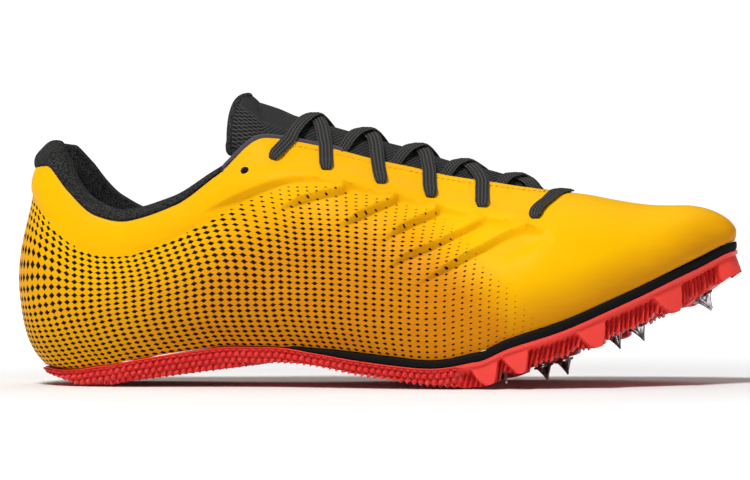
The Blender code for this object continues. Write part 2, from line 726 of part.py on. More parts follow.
def make_outsole(made_of):
    at, lift = plate_ring()

    def ring(distance, height, extra=0.0):
        plan = inset_plan(at, distance)
        return with_height(plan, height(along_at(plan[..., 0])) + extra)

    along = along_at(feather_line(at)[..., 0])
    flare = -(PLATE_LIP + PLATE_FLARE * eased(along, 0.6, 0.95))
    lug_lift = LUG_DROP * lift * sole_share("web", along)
    rim = np.minimum(RIM_HEIGHT, RIM_SHARE * PLATE_EDGE * sole_share("plate", along))
    whole = np.ones(len(at))
    rings = [
        ring(LUG_DEPTH * whole, plate_top),
        ring(-PLATE_LIP * whole, plate_top),
        ring(-PLATE_LIP * whole, plate_top, -rim),
        ring(-(PLATE_LIP - RIM_STEP) * whole, plate_top, -rim * RIM_SLOPE),
        ring(flare, ground_height, lug_lift),
        ring(LUG_DEPTH * LUG_FACE * whole, ground_height, lug_lift),
        ring(LUG_DEPTH * LUG_ROOT * whole, web_height),
    ]
    bm = bmesh.new()
    rows = [[bm.verts.new(tuple(point)) for point in line] for line in rings]
    add_grid(bm, rows, around=True)
    fill_across(bm, rows[0])
    fill_across(bm, rows[-1])
    bmesh.ops.remove_doubles(bm, verts=bm.verts, dist=1e-6)
    outsole = add_object("outsole", bm, made_of)
    wells, sockets = bmesh.new(), bmesh.new()
    bore = STUD_RADIUS + PIECE_GAP
    depth = STUD_LENGTH + 2 * PIECE_GAP
    pocket = FLANGE_RADIUS + 2 * PIECE_GAP
    clear = -2 * LUG_DROP
    socket = ((0, clear), (pocket, clear), (pocket, 0), (bore, 0), (bore, depth), (0, depth))
    for spike in named_rows(SPIKE_COLUMNS, SPIKES):
        seat, axis = spike_seat(**spike)
        if spike["recess"] < 1:
            deep = LUG_DROP * (1 - spike["recess"]) + UPPER_WALL
            wide = WELL_RADIUS * WELL_TAPER
            add_turned(wells, seat, -axis, ((0, 0), (WELL_RADIUS, 0), (wide, deep), (0, deep)), WELL_SIDES)
        add_turned(sockets, seat, -axis, socket, SPIKE_SIDES)
    combine(outsole, cutter("spike_wells", wells), "UNION")
    combine(outsole, cutter("spike_sockets", sockets), "DIFFERENCE")
    return outsole


def spike_seat(along, across, recess):
    """Middle of a spike's seat and the direction in which the spike points, square to the sole."""
    step = 0.02
    slope = (ground_height(along + step) - ground_height(along - step)) / (2 * step * LENGTH)
    axis = unit(np.array([float(slope), 0.0, -1.0]))
    height = float(ground_height(along)) + LUG_DROP * recess
    return np.array([x_at(along), across * BALL_WIDTH, height]), axis


def make_spike(number, spike, made_of):
    seat, axis = spike_seat(**spike)
    flange_end = PIECE_GAP + FLANGE_THICKNESS
    tip = flange_end + SPIKE_LENGTH
    stud = ((0, -STUD_LENGTH), (STUD_RADIUS, -STUD_LENGTH), (STUD_RADIUS, PIECE_GAP))
    flange = ((FLANGE_RADIUS, PIECE_GAP), (FLANGE_RADIUS, flange_end))
    cone = ((SPIKE_RADIUS, flange_end), (SPIKE_TIP * SPIKE_RADIUS, tip), (0, tip))
    bm = bmesh.new()
    add_turned(bm, seat, axis, stud + flange + cone, SPIKE_SIDES)
    return add_object(f"spike_{number}", bm, made_of)


def make_midsole(made_of):
    """Thin wedge between plate and upper, from the arch to the toe."""
    step = MIDSOLE_ROW_STEP
    rows = np.concatenate([np.arange(feather_place(MIDSOLE_START), TOE_ROW - 0.9 * step, step), [TOE_ROW]])
    ring = np.concatenate([rows, RING_ROWS - rows[:-1][::-1]])
    shift = x_at(MIDSOLE_START)

    def outline(drop):
        plan = inset_plan(ring, -MIDSOLE_LIP * np.ones(len(ring)))
        plan[[0, -1], 0] = shift
        along = along_at(plan[..., 0])
        return with_height(plan, drop(along))

    def top(along):
        return feather_height(along) - PIECE_GAP

    def bottom(along):
        return plate_top(along) + 2 * PIECE_GAP

    bm = bmesh.new()
    rows = [[bm.verts.new(tuple(point)) for point in outline(drop)] for drop in (top, bottom)]
    add_grid(bm, rows, around=True)
    for line in rows:
        half = len(line) // 2
        for i in range(half):
            add_face(bm, [line[i], line[i + 1], line[len(line) - i - 2], line[len(line) - i - 1]])
    return add_object("midsole", bm, made_of)


def make_insole(made_of):
    at = np.arange(RING_ROWS * 2) / 2.0
    inset = (UPPER_WALL + 3 * PIECE_GAP) * np.ones(len(at))

    def outline(distance, lift):
        plan = inset_plan(at, distance)
        return with_height(plan, feather_height(along_at(plan[..., 0])) + PIECE_GAP + lift)

    rings = [outline(inset, 0.0), outline(inset, INSOLE_BEVEL * INSOLE_THICKNESS),
             outline(inset / INSOLE_BEVEL, INSOLE_THICKNESS)]
    bm = bmesh.new()
    rows = [[bm.verts.new(tuple(point)) for point in line] for line in rings]
    add_grid(bm, rows, around=True)
    fill_across(bm, rows[0])
    fill_across(bm, rows[-1])
    return add_object("insole", bm, made_of)


def add_band(bm, points, normals):
    """A flat lace along a path, as one closed body."""
    points, normals = np.array(points), unit(np.array(normals))
    run = unit(np.gradient(points, axis=0))
    side = unit(np.cross(run, normals))
    half_width, half_thick = LACE_WIDTH / 2, LACE_THICKNESS / 2
    sections = [[p + s * half_width + n * half_thick, p - s * half_width + n * half_thick,
                 p - s * half_width - n * half_thick, p + s * half_width - n * half_thick]
                for p, s, n in zip(points, side, normals)]
    rows = [[bm.verts.new(tuple(corner)) for corner in section] for section in sections]
    add_grid(bm, rows, around=True)
    bm.faces.new(rows[0])
    bm.faces.new(rows[-1])


def over_wall(at, level):
    """A lace's middle, and its normal, where it lies on the upper."""
    normal = wall_normal(at, level)[0]
    return wall(at, level)[0] + normal * (PIECE_GAP + LACE_THICKNESS / 2 + RIDGE_HEIGHT * 0.5), normal


def crossing_path(eyelet, following, side):
    """Path of a lace from one eyelet over its edge and the throat to the far edge, one eyelet on."""
    place, level = place_on_wall(**eyelet, side=side)
    turn = eyelet["along"] + CROSS_LEAD
    forward = following["along"] - CROSS_SHORT - eyelet["along"]
    edge = top_place(turn, side)
    points, normals = [], []
    for share in (0.0, 0.4, 0.8):
        point, normal = over_wall(place + (edge - place) * share, level + (2.0 - level) * share)
        points.append(point)
        normals.append(normal)
    for share in (0.06, 0.22, 0.38, 0.54, 0.70, 0.86):
        row = float(ring_row(top_place(turn + (forward - CROSS_LEAD) * min(1.0, CROSS_RUSH * share), side))[0])
        across = share if side < 0 else 1 - share
        arch = throat_arch(row, across + np.array([-0.02, 0.0, 0.02]))
        normal = section_normals(arch)[1]
        points.append(arch[1] + normal * (2 * PIECE_GAP + LACE_THICKNESS / 2))
        normals.append(normal)
    return points, normals


def make_crossing(number, eyelet, following, made_of):
    first, second = bmesh.new(), bmesh.new()
    add_band(first, *crossing_path(eyelet, following, -1))
    add_band(second, *crossing_path(eyelet, following, 1))
    crossing = add_object(f"lace_cross_{number}", first, made_of)
    combine(crossing, cutter(f"lace_return_{number}", second), "UNION")
    return crossing


def make_bar(made_of):
    """The lace's first run, from eyelet to eyelet over the vamp just ahead of the throat."""
    front = named_rows(EYELET_COLUMNS, EYELETS)[-1]
    shares = (0.0, 0.25, 0.5, 0.75, 0.9, 1.0)
    halves = []
    for side, crest in ((-1, BAR_ROW), (1, RING_ROWS - BAR_ROW)):
        place, level = place_on_wall(**front, side=side)
        rise, run = 2 - level, crest - place
        halves.append([over_wall(place + run * share, level + rise * share) for share in shares])
    path = halves[0] + halves[1][-2::-1]
    bm = bmesh.new()
    add_band(bm, [point for point, normal in path], [normal for point, normal in path])
    return add_object("lace_bar", bm, made_of)


def main():
    for old in list(bpy.data.objects):
        bpy.data.objects.remove(old)
    yellow = material("upper_yellow", (1.0, 0.60, 0.015), 0.45)
    black_knit = material("collar_black", (0.016, 0.016, 0.018), 0.85)
    black_mesh = material("tongue_black", (0.02, 0.02, 0.022), 0.8)
    grey_foam = material("insole_grey", (0.07, 0.07, 0.075), 0.8)
    black_foam = material("midsole_black", (0.012, 0.012, 0.012), 0.5)
    coral = material("plate_coral", (0.90, 0.09, 0.055), 0.35)
    steel = material("spike_steel", (0.75, 0.75, 0.76), 0.2, 1.0)
    black_braid = material("lace_black", (0.018, 0.018, 0.02), 0.8)
    make_upper(yellow)
    make_outsole(coral)
    make_midsole(black_foam)
    make_insole(grey_foam)
    make_tongue(black_mesh)
    make_collar(black_knit)
    for number, spike in enumerate(named_rows(SPIKE_COLUMNS, SPIKES), 1):
        make_spike(number, spike, steel)
    make_bar(black_braid)
    laced = named_rows(EYELET_COLUMNS, EYELETS)[1:]
    for number, (eyelet, following) in enumerate(zip(laced, laced[1:]), 1):
        make_crossing(number, eyelet, following, black_braid)


main()
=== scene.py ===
"""Looks of the track spike shoe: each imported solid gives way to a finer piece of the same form, in the same
frame. The camera and the light follow the photograph.

Metres. +X runs to the toe, +Y to the inner side of the foot and +Z up. The sizes and tables of the part's
source come first, since every piece is worked out from them. Tables called lines are in pixels of the
photograph, x from its left and y from its top.
"""

import functools
import math

import bmesh
import bpy
import numpy as np
from mathutils import Matrix, Vector


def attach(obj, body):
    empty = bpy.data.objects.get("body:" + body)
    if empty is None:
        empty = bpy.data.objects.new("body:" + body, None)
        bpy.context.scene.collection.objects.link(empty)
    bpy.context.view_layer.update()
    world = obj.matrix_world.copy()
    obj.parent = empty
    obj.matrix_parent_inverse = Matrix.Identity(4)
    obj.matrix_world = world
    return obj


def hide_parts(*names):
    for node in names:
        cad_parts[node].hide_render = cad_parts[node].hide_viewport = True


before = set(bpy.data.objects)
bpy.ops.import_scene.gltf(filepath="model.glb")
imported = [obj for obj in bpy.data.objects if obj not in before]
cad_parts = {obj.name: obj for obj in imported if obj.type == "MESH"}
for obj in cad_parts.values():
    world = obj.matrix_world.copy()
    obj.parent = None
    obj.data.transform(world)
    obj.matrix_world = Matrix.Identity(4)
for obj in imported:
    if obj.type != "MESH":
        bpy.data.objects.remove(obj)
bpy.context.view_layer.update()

# Overall sizes
LENGTH = 0.285
BALL_WIDTH = 0.0945
HEEL_WIDTH = 0.064
HEEL_HEIGHT = 0.086
INSTEP_HEIGHT = 0.0958
TOE_HEIGHT = 0.0687
ARCH_LIFT = 0.0088
TOE_SPRING = 0.044

# Walls, layers and fits
PIECE_GAP = 0.0003
UPPER_WALL = 0.0018
BAND_THICKNESS = 0.0038
PLATE_EDGE = 0.0125
PLATE_LIP = 0.0012
PLATE_FLARE = 0.0016
RIM_HEIGHT = 0.0016
RIM_STEP = 0.0007
LUG_DROP = 0.0042
LUG_DEPTH = 0.0065
MIDSOLE_LIP = 0.0009
INSOLE_THICKNESS = 0.003
TONGUE_THICKNESS = 0.0032
COLLAR_ROLL = 0.0045
COLLAR_PAD = 0.0056
EYELET_RADIUS = 0.0017
LACE_WIDTH = 0.0055
LACE_THICKNESS = 0.0013
SPIKE_LENGTH = 0.0053
SPIKE_RADIUS = 0.0029
FLANGE_RADIUS = 0.0039
FLANGE_THICKNESS = 0.001
STUD_RADIUS = 0.0024
STUD_LENGTH = 0.0026
WELL_RADIUS = 0.0052

# Middle of the heel's flat spot, as a share of LENGTH from the back of the heel
HEEL_REST = 0.122

# Ribs of the upper, heel centre to toe centre. A rib climbs from the feather line, where upper meets sole,
# over the widest line to the top line, which is the collar and throat edge and then the crest of the vamp.
# Columns ending in along are shares of LENGTH; out, in, centre and gap are shares of the local width; wide_up
# is a share of the rib's height; top_up a share of the local height; lean is in degrees from upright.
RIB_COLUMNS = ("feather_along", "feather_out", "feather_in", "wide_along", "wide_out", "wide_in", "wide_up",
               "top_along", "top_centre", "top_gap", "top_up", "lean")
RIBS = (
    (0.049, 0.000, 0.000, 0.000, 0.000, 0.000, 0.43, 0.022, 0.000, 0.000, 0.980, 0),
    (0.057, 0.148, 0.140, 0.010, 0.200, 0.195, 0.43, 0.030, 0.000, 0.140, 0.990, 2),
    (0.082, 0.289, 0.273, 0.038, 0.367, 0.352, 0.43, 0.053, 0.000, 0.266, 0.995, 6),
    (0.125, 0.375, 0.360, 0.085, 0.460, 0.440, 0.43, 0.0865, 0.000, 0.352, 0.884, 10),
    (0.175, 0.414, 0.383, 0.145, 0.500, 0.470, 0.42, 0.129, 0.005, 0.406, 0.763, 12),
    (0.235, 0.414, 0.359, 0.210, 0.515, 0.470, 0.41, 0.179, 0.010, 0.445, 0.716, 14),
    (0.300, 0.411, 0.312, 0.280, 0.526, 0.457, 0.36, 0.240, 0.010, 0.437, 0.744, 18),
    (0.360, 0.408, 0.274, 0.345, 0.518, 0.424, 0.30, 0.298, 0.015, 0.378, 0.851, 28),
    (0.420, 0.413, 0.261, 0.405, 0.502, 0.391, 0.25, 0.3597, 0.020, 0.257, 1.001, 40),
    (0.480, 0.423, 0.278, 0.470, 0.488, 0.376, 0.225, 0.4388, 0.025, 0.200, 0.964, 46),
    (0.540, 0.440, 0.320, 0.535, 0.485, 0.387, 0.205, 0.528, 0.025, 0.152, 0.898, 50),
    (0.600, 0.466, 0.376, 0.600, 0.497, 0.423, 0.205, 0.6065, 0.030, 0.122, 0.861, 55),
    (0.660, 0.487, 0.434, 0.662, 0.513, 0.466, 0.21, 0.680, 0.035, 0.100, 0.888, 62),
    (0.715, 0.487, 0.468, 0.720, 0.508, 0.489, 0.21, 0.7315, 0.037, 0.065, 0.924, 74),
    (0.765, 0.460, 0.474, 0.770, 0.476, 0.490, 0.205, 0.7506, 0.038, 0.000, 0.940, 90),
    (0.820, 0.395, 0.457, 0.825, 0.407, 0.471, 0.20, 0.800, 0.045, 0.000, 0.981, 90),
    (0.868, 0.307, 0.416, 0.873, 0.317, 0.429, 0.20, 0.855, 0.060, 0.000, 0.997, 90),
    (0.908, 0.225, 0.372, 0.913, 0.235, 0.385, 0.20, 0.890, 0.075, 0.000, 1.000, 90),
    (0.941, 0.125, 0.305, 0.946, 0.135, 0.316, 0.21, 0.910, 0.080, 0.000, 1.000, 90),
    (0.967, 0.030, 0.235, 0.971, 0.038, 0.245, 0.22, 0.920, 0.082, 0.000, 1.000, 90),
    (0.984, -0.030, 0.168, 0.987, -0.026, 0.174, 0.24, 0.921, 0.082, 0.000, 1.000, 90),
    (0.990, -0.100, 0.100, 0.9925, -0.100, 0.100, 0.24, 0.921, 0.082, 0.000, 1.000, 90),
)
THROAT_ROW = 8
VAMP_ROW = 14
TOE_ROW = len(RIBS) - 1

# Side of the sole. arch and spring lift its underside off the floor, as shares of ARCH_LIFT and TOE_SPRING;
# plate and band are the plate's and the midsole's heights there, as shares of PLATE_EDGE and BAND_THICKNESS;
# web lifts the plate's middle between the lugs, as a share of LUG_DROP.
SOLE_COLUMNS = ("along", "arch", "spring", "plate", "band", "web")
SOLE = (
    (0.045, 0.62, 0.000, 0.10, 0.00, 0.0),
    (0.070, 0.36, 0.000, 0.22, 0.00, 0.0),
    (0.092, 0.10, 0.000, 0.42, 0.00, 0.0),
    (0.105, 0.00, 0.000, 0.51, 0.00, 0.0),
    (0.144, 0.00, 0.000, 0.63, 0.00, 0.0),
    (0.178, 0.16, 0.000, 0.67, 0.00, 0.0),
    (0.240, 0.42, 0.000, 0.71, 0.00, 0.0),
    (0.300, 0.67, 0.000, 0.72, 0.00, 0.0),
    (0.350, 0.87, 0.000, 0.60, 0.00, 0.0),
    (0.387, 1.00, 0.000, 0.49, 0.00, 0.0),
    (0.405, 0.98, 0.000, 0.46, 0.21, 0.0),
    (0.440, 0.86, 0.000, 0.41, 0.50, 0.0),
    (0.500, 0.50, 0.000, 0.45, 0.82, 0.0),
    (0.560, 0.22, 0.000, 0.49, 0.85, 0.0),
    (0.600, 0.04, 0.000, 0.56, 0.80, 0.0),
    (0.622, 0.00, 0.000, 0.62, 0.80, 0.0),
    (0.642, 0.00, 0.000, 0.70, 0.84, 0.0),
    (0.662, 0.00, 0.000, 0.79, 0.90, 0.2),
    (0.706, 0.00, 0.095, 0.85, 0.95, 1.0),
    (0.777, 0.00, 0.230, 0.90, 1.00, 1.0),
    (0.843, 0.00, 0.405, 0.95, 1.00, 1.0),
    (0.911, 0.00, 0.615, 0.97, 1.00, 1.0),
    (0.955, 0.00, 0.790, 0.88, 1.00, 1.0),
    (0.985, 0.00, 0.940, 0.72, 0.95, 0.8),
    (1.000, 0.00, 1.000, 0.64, 0.90, 0.6),
)
MIDSOLE_START = 0.405

# Spikes: seat along the sole, across it (share of BALL_WIDTH, outer side negative), and how far the seat is
# drawn up from the lugs' underside (share of LUG_DROP)
SPIKE_COLUMNS = ("along", "across", "recess")
SPIKES = (
    (0.688, -0.320, 1.25),
    (0.729, 0.060, 0.25),
    (0.744, 0.360, 0.25),
    (0.818, 0.270, 0.90),
    (0.866, -0.150, 0.50),
    (0.943, 0.180, 0.15),
    (0.949, 0.020, 0.15),
)
SPIKE_TIP = 0.12

# Eyelets of one side, top one first: along, and height as a share of INSTEP_HEIGHT. The first stays free.
EYELET_COLUMNS = ("along", "up")
EYELETS = (
    (0.338, 0.866),
    (0.376, 0.924),
    (0.449, 0.868),
    (0.520, 0.808),
    (0.589, 0.748),
    (0.661, 0.707),
    (0.737, 0.675),
)

# Row of the rib table at which the front bar crosses the vamp
BAR_ROW = VAMP_ROW + 0.35

# Collar: row of the rib table, height of its roll over the edge (share of COLLAR_ROLL), thickness of its pad
# (share of COLLAR_PAD)
COLLAR_COLUMNS = ("row", "roll", "pad")
COLLAR = (
    (0.0, 2.15, 1.05),
    (1.0, 2.10, 1.10),
    (2.0, 1.90, 1.25),
    (3.0, 2.00, 1.30),
    (4.0, 1.45, 1.10),
    (5.0, 1.05, 0.95),
    (6.0, 0.90, 0.85),
    (7.0, 0.60, 0.55),
    (7.35, 0.30, 0.35),
)

# Section of the roll over the upper's edge: shares of the roll's height, the pad's thickness and UPPER_WALL
ROLL_COLUMNS = ("rise", "pad", "wall")
ROLL = (
    (0.00, 0.00, 0.00),
    (0.55, -0.07, 0.00),
    (0.92, 0.22, 0.00),
    (1.00, 0.55, 0.00),
    (0.85, 0.90, 0.45),
    (0.35, 1.00, 1.00),
)
LINING_LEVELS = (1.52, 1.76, 1.95)
LINING_PAD = (0.35, 0.90, 1.20)

# Free top of the tongue, which rounds out behind the top eyelets. Each row: share of its reach, and thickness
# as a share of TONGUE_THICKNESS
TONGUE_REACH = 0.0100
TONGUE_CORNER_REACH = 0.0047
TONGUE_TOP_TURN = 92
TONGUE_TOP_COLUMNS = ("share", "thick")
TONGUE_TOP = (
    (0.10, 1.0),
    (0.35, 1.1),
    (0.70, 1.3),
    (0.92, 1.2),
    (1.00, 0.6),
)

# How strongly the wall's curve is pulled at its foot, its widest line, its top edge and the vamp's crest, and
# the curve that carries it over the throat
FOOT_FLARE = 0.5
BEND_FOOT = 0.21
BEND_UNDER = 0.45
BEND_WIDEST = 0.42
BEND_TOP = 0.38
BEND_CREST = 0.50
ARCH_PULL = 0.56

# Rows of the rib table between which the sole's middle line runs
SPINE_START = 3.0
SPINE_END = 17.5
RIM_SHARE = 0.4


def named_columns(names, rows):
    """The table's columns by name."""
    values = np.array(rows, float)
    return {name: values[:, i] for i, name in enumerate(names)}


def named_rows(names, rows):
    """The table's rows, each with its values by name."""
    return [dict(zip(names, row)) for row in rows]


def hermite(low, high, slope_low, slope_high, share):
    """Cubic between two values with given slopes."""
    rise = high - low
    return (low + slope_low * share + (3 * rise - 2 * slope_low - slope_high) * share**2
            + (slope_low + slope_high - 2 * rise) * share**3)


def through(table, at):
    """Value at a place of a table of straight stretches."""
    return np.interp(at, *np.transpose(table))


def monotone(places, values, at):
    """Smooth curve through a column that never overshoots its rows."""
    step = np.diff(places)
    grade = np.diff(values) / step
    product = grade[:-1] * grade[1:]
    total = grade[:-1] + grade[1:]
    inner = np.where(product > 0, 2 * product / np.where(product > 0, total, 1.0), 0.0)
    slopes = np.concatenate([grade[:1], inner, grade[-1:]])
    at = np.clip(at, places[0], places[-1])
    row = np.clip(np.searchsorted(places, at, side="right") - 1, 0, len(step) - 1)
    share = (at - places[row]) / step[row]
    return hermite(values[row], values[row + 1], slopes[row] * step[row], slopes[row + 1] * step[row], share)


def closed_curve(values, at):
    """Smooth closed curve through one value for each row of the ring."""
    count = len(values)
    system = 4 * np.eye(count) + np.roll(np.eye(count), 1, axis=0) + np.roll(np.eye(count), -1, axis=0)
    slopes = np.linalg.solve(system, 3 * (np.roll(values, -1) - np.roll(values, 1)))
    at = np.mod(at, count)
    row = np.floor(at).astype(int) % count
    after = (row + 1) % count
    return hermite(values[row], values[after], slopes[row], slopes[after], at - np.floor(at))


def eased(value, start, end):
    """0 before start, 1 after end, and smooth between."""
    share = np.clip((value - start) / (end - start), 0.0, 1.0)
    return share * share * (3 - 2 * share)


def local_width(along):
    return HEEL_WIDTH + (BALL_WIDTH - HEEL_WIDTH) * eased(along, 0.25, 0.60)


def local_height(along):
    back = HEEL_HEIGHT + (INSTEP_HEIGHT - HEEL_HEIGHT) * eased(along, 0.10, 0.30)
    return back + (TOE_HEIGHT - back) * eased(along, 0.55, 0.90)


RIB = named_columns(RIB_COLUMNS, RIBS)
SIDE = named_columns(SOLE_COLUMNS, SOLE)
RING_ROWS = 2 * TOE_ROW


def x_at(along):
    return (along - HEEL_REST) * LENGTH


def along_at(x):
    return x / LENGTH + HEEL_REST


def sole_share(name, along):
    return monotone(SIDE["along"], SIDE[name], along)


def ground_height(along):
    return ARCH_LIFT * sole_share("arch", along) + TOE_SPRING * sole_share("spring", along)


def plate_top(along):
    return ground_height(along) + PLATE_EDGE * sole_share("plate", along)


def feather_height(along):
    """Height of the upper's lower edge, a gap above the plate or the midsole."""
    return plate_top(along) + BAND_THICKNESS * sole_share("band", along) + PIECE_GAP


def ring_line(name, at):
    """Plan of the feather or widest line, at places on the ring that runs down the outer side and back up."""
    rows = np.arange(RING_ROWS)
    row = np.minimum(rows, RING_ROWS - rows)
    along = RIB[name + "_along"][row]
    across = np.where(rows <= TOE_ROW, -RIB[name + "_out"][row], RIB[name + "_in"][row]) * local_width(along)
    return closed_curve(along, at), closed_curve(across, at)


def ring_row(at):
    """Row of the rib table at a place on the ring."""
    return np.minimum(np.mod(at, RING_ROWS), RING_ROWS - np.mod(at, RING_ROWS))


def rib_value(name, at):
    return monotone(np.arange(TOE_ROW + 1.0), RIB[name], ring_row(at))


def feather_line(at):
    along, across = ring_line("feather", at)
    return np.stack([x_at(along), across, feather_height(along)], axis=-1)


def top_line(at):
    along = rib_value("top_along", at)
    side = np.where(np.mod(at, RING_ROWS) <= TOE_ROW, -1.0, 1.0)
    across = (rib_value("top_centre", at) + side * rib_value("top_gap", at)) * local_width(along)
    return np.stack([x_at(along), across, rib_value("top_up", at) * local_height(along)], axis=-1)


def wide_line(at):
    along, across = ring_line("wide", at)
    low = feather_line(at)[..., 2]
    height = low + rib_value("wide_up", at) * (top_line(at)[..., 2] - low)
    return np.stack([x_at(along), across, height], axis=-1)


def unit(vectors):
    return vectors / np.maximum(np.linalg.norm(vectors, axis=-1, keepdims=True), 1e-12)


def lean_direction(at):
    """Direction in which the wall runs as it reaches the top line."""
    reach = top_line(at) - wide_line(at)
    reach[..., 2] = 0.0
    lean = np.radians(rib_value("lean", at))[..., None]
    return unit(reach) * np.sin(lean) + np.array([0.0, 0.0, 1.0]) * np.cos(lean)


def bezier(first, second, third, fourth, share):
    rest = 1 - share
    return (first * rest**3 + second * 3 * rest**2 * share + third * 3 * rest * share**2 + fourth * share**3)


def wall(at, level):
    """Point of the upper's outer face: level 0 is the feather line, 1 the widest line and 2 the top line."""
    low, wide, top = feather_line(at), wide_line(at), top_line(at)
    up = np.array([0.0, 0.0, 1.0])
    rise = (wide[..., 2] - low[..., 2])[..., None]
    flare = (wide - low) * np.array([FOOT_FLARE, FOOT_FLARE, 0.0])
    below = bezier(low, low + flare + up * BEND_FOOT * rise, wide - up * BEND_UNDER * rise, wide,
                   np.clip(level, 0, 1)[..., None])
    climb = (top[..., 2] - wide[..., 2])[..., None]
    reach = np.linalg.norm(top - wide, axis=-1)[..., None]
    crown = BEND_TOP + (BEND_CREST - BEND_TOP) * eased(rib_value("lean", at), 60, 90)[..., None]
    above = bezier(wide, wide + up * BEND_WIDEST * climb, top - lean_direction(at) * crown * reach, top,
                   np.clip(level - 1, 0, 1)[..., None])
    return np.where((level <= 1)[..., None], below, above)


def wall_normal(at, level):
    """Outward normal of that face. Along the crest of the vamp both sides share the crest's own normal."""
    step = 1e-3
    along = wall(at + step, level) - wall(at - step, level)
    higher, lower = np.minimum(level + step, 2.0), np.maximum(level - step, 0.0)
    upward = wall(at, higher) - wall(at, lower)
    normal = unit(np.cross(along, upward))
    row = ring_row(at)
    crest = top_line(row + step) - top_line(row - step)
    crest = np.where(crest[..., :1] > 1e-9, crest, np.array([1.0, 0.0, 0.0]))
    ridge = unit(np.cross(crest, np.array([0.0, 1.0, 0.0])))
    on_crest = ((row >= VAMP_ROW - 1e-6) & (level > 2 - 1e-6))[..., None]
    return np.where(on_crest, ridge, normal)


@functools.cache
def place_on_wall(along, up, side):
    """Place on the ring, and level, of the point that shows at this share of the length and of the instep."""
    rows = np.linspace(5.0, VAMP_ROW + 2.0, 271)
    levels = np.linspace(1.2, 2.0, 121)
    at, level = np.meshgrid(rows if side < 0 else RING_ROWS - rows, levels, indexing="ij")
    points = wall(at, level)
    miss = np.hypot(points[..., 0] - x_at(along), points[..., 2] - up * INSTEP_HEIGHT)
    best = np.unravel_index(np.argmin(miss), miss.shape)
    return at[best].reshape(1), level[best].reshape(1)


def top_place(along, side):
    """Place on the ring where the throat's edge passes this share of the length."""
    rows = np.linspace(THROAT_ROW, VAMP_ROW + 2.0, 801)
    row = rows[np.argmin(np.abs(rib_value("top_along", rows) - along))]
    return np.array([row if side < 0 else RING_ROWS - row])


def throat_arch(row, share):
    """Point that carries the upper's own curve over the throat: share 0 on its outer edge, 1 on its inner."""
    out, back = np.array([row]), np.array([RING_ROWS - row])
    first, last = top_line(out)[0], top_line(back)[0]
    pull = ARCH_PULL * np.linalg.norm(last - first)
    out_lean, back_lean = lean_direction(out)[0], lean_direction(back)[0]
    share = np.asarray(share, float)[..., None]
    return bezier(first, first + out_lean * pull, last + back_lean * pull, last, share)


def section_normals(points):
    """Normals of an open section in its own plane, turned up and outward."""
    along = np.gradient(points, axis=0)
    along[:, 0] = 0.0
    return unit(np.stack([np.zeros(len(points)), -along[:, 2], along[:, 1]], axis=-1))


def tongue_section(row):
    """Upper face of the tongue under one row of the throat, outer wing to inner wing, and its normals."""
    depth = UPPER_WALL + 3 * PIECE_GAP
    levels = np.array([1.80, 1.90, 1.97])
    sides = []
    for at in (np.full(3, float(row)), np.full(3, RING_ROWS - float(row))):
        sides.append(wall(at, levels) - wall_normal(at, levels) * depth)
    shares = np.array([0.12, 0.31, 0.5, 0.69, 0.88])
    arch = throat_arch(row, shares)
    clear_of_vamp = eased(VAMP_ROW - row, 0.75, 2.5)
    sunk = depth - (depth - 2 * PIECE_GAP) * np.sin(math.pi * shares) * clear_of_vamp
    arch = arch - section_normals(arch) * sunk[:, None]
    face = np.concatenate([sides[0], arch, sides[1][::-1]])
    return face, section_normals(face)


def collar_section(at, roll, pad):
    """Section of the collar at one place: up behind the upper's wall, over its edge and down the lining."""
    place = np.full(len(LINING_LEVELS), at)
    lining = wall(place, np.array(LINING_LEVELS))
    normal = wall_normal(place, np.array(LINING_LEVELS))
    behind = lining - normal * (UPPER_WALL + 2 * PIECE_GAP)
    front = lining - normal * (UPPER_WALL + pad * np.array(LINING_PAD))[:, None]
    edge = top_line(np.array([at]))[0]
    rise = lean_direction(np.array([at]))[0]
    flat = wall_normal(np.array([at]), np.array([LINING_LEVELS[-1]]))[0] * np.array([1.0, 1.0, 0.0])
    inward = -unit(flat)
    lifted = edge + rise * 2 * PIECE_GAP
    over = [lifted + inward * (UPPER_WALL + 2 * PIECE_GAP)]
    for point in named_rows(ROLL_COLUMNS, ROLL):
        height = max(roll * point["rise"], 2 * PIECE_GAP)
        over.append(edge + rise * height + inward * (pad * point["pad"] + UPPER_WALL * point["wall"]))
    return np.array([*behind, *over, *front[::-1]])


def spine_points(at):
    """For places on the ring, the point of the sole's middle line that each is drawn in towards."""
    row = np.clip(ring_row(at), SPINE_START, SPINE_END)
    return (feather_line(row) + feather_line(RING_ROWS - row)) / 2


def feather_outward(at):
    """Outward direction of the feather line in plan."""
    step = 1e-3
    run = feather_line(at + step)[..., :2] - feather_line(at - step)[..., :2]
    return unit(np.stack([run[..., 1], -run[..., 0]], axis=-1))


def whole_ring(rows):
    """Places down the outer side of the ring and back up the inner one."""
    return np.concatenate([rows, RING_ROWS - rows[-2:0:-1]])


def inset_plan(at, distance):
    """Plan of the feather line drawn in by a distance, or out where it is negative."""
    line = feather_line(at)[..., :2]
    middle = spine_points(at)[..., :2]
    reach = np.linalg.norm(middle - line, axis=-1, keepdims=True)
    inward = unit(middle - line)
    distance = np.broadcast_to(np.asarray(distance, float)[..., None], reach.shape)
    drawn_in = line + inward * np.minimum(distance, 0.7 * reach)
    return np.where(distance > 0, drawn_in, line - feather_outward(at) * distance)


def with_height(plan, height):
    return np.concatenate([plan, np.asarray(height)[..., None]], axis=-1)


def feather_place(along):
    """Row of the rib table where the feather line passes these shares of the length."""
    dense = np.linspace(0, TOE_ROW, 2001)
    return np.interp(along, ring_line("feather", dense)[0], dense)


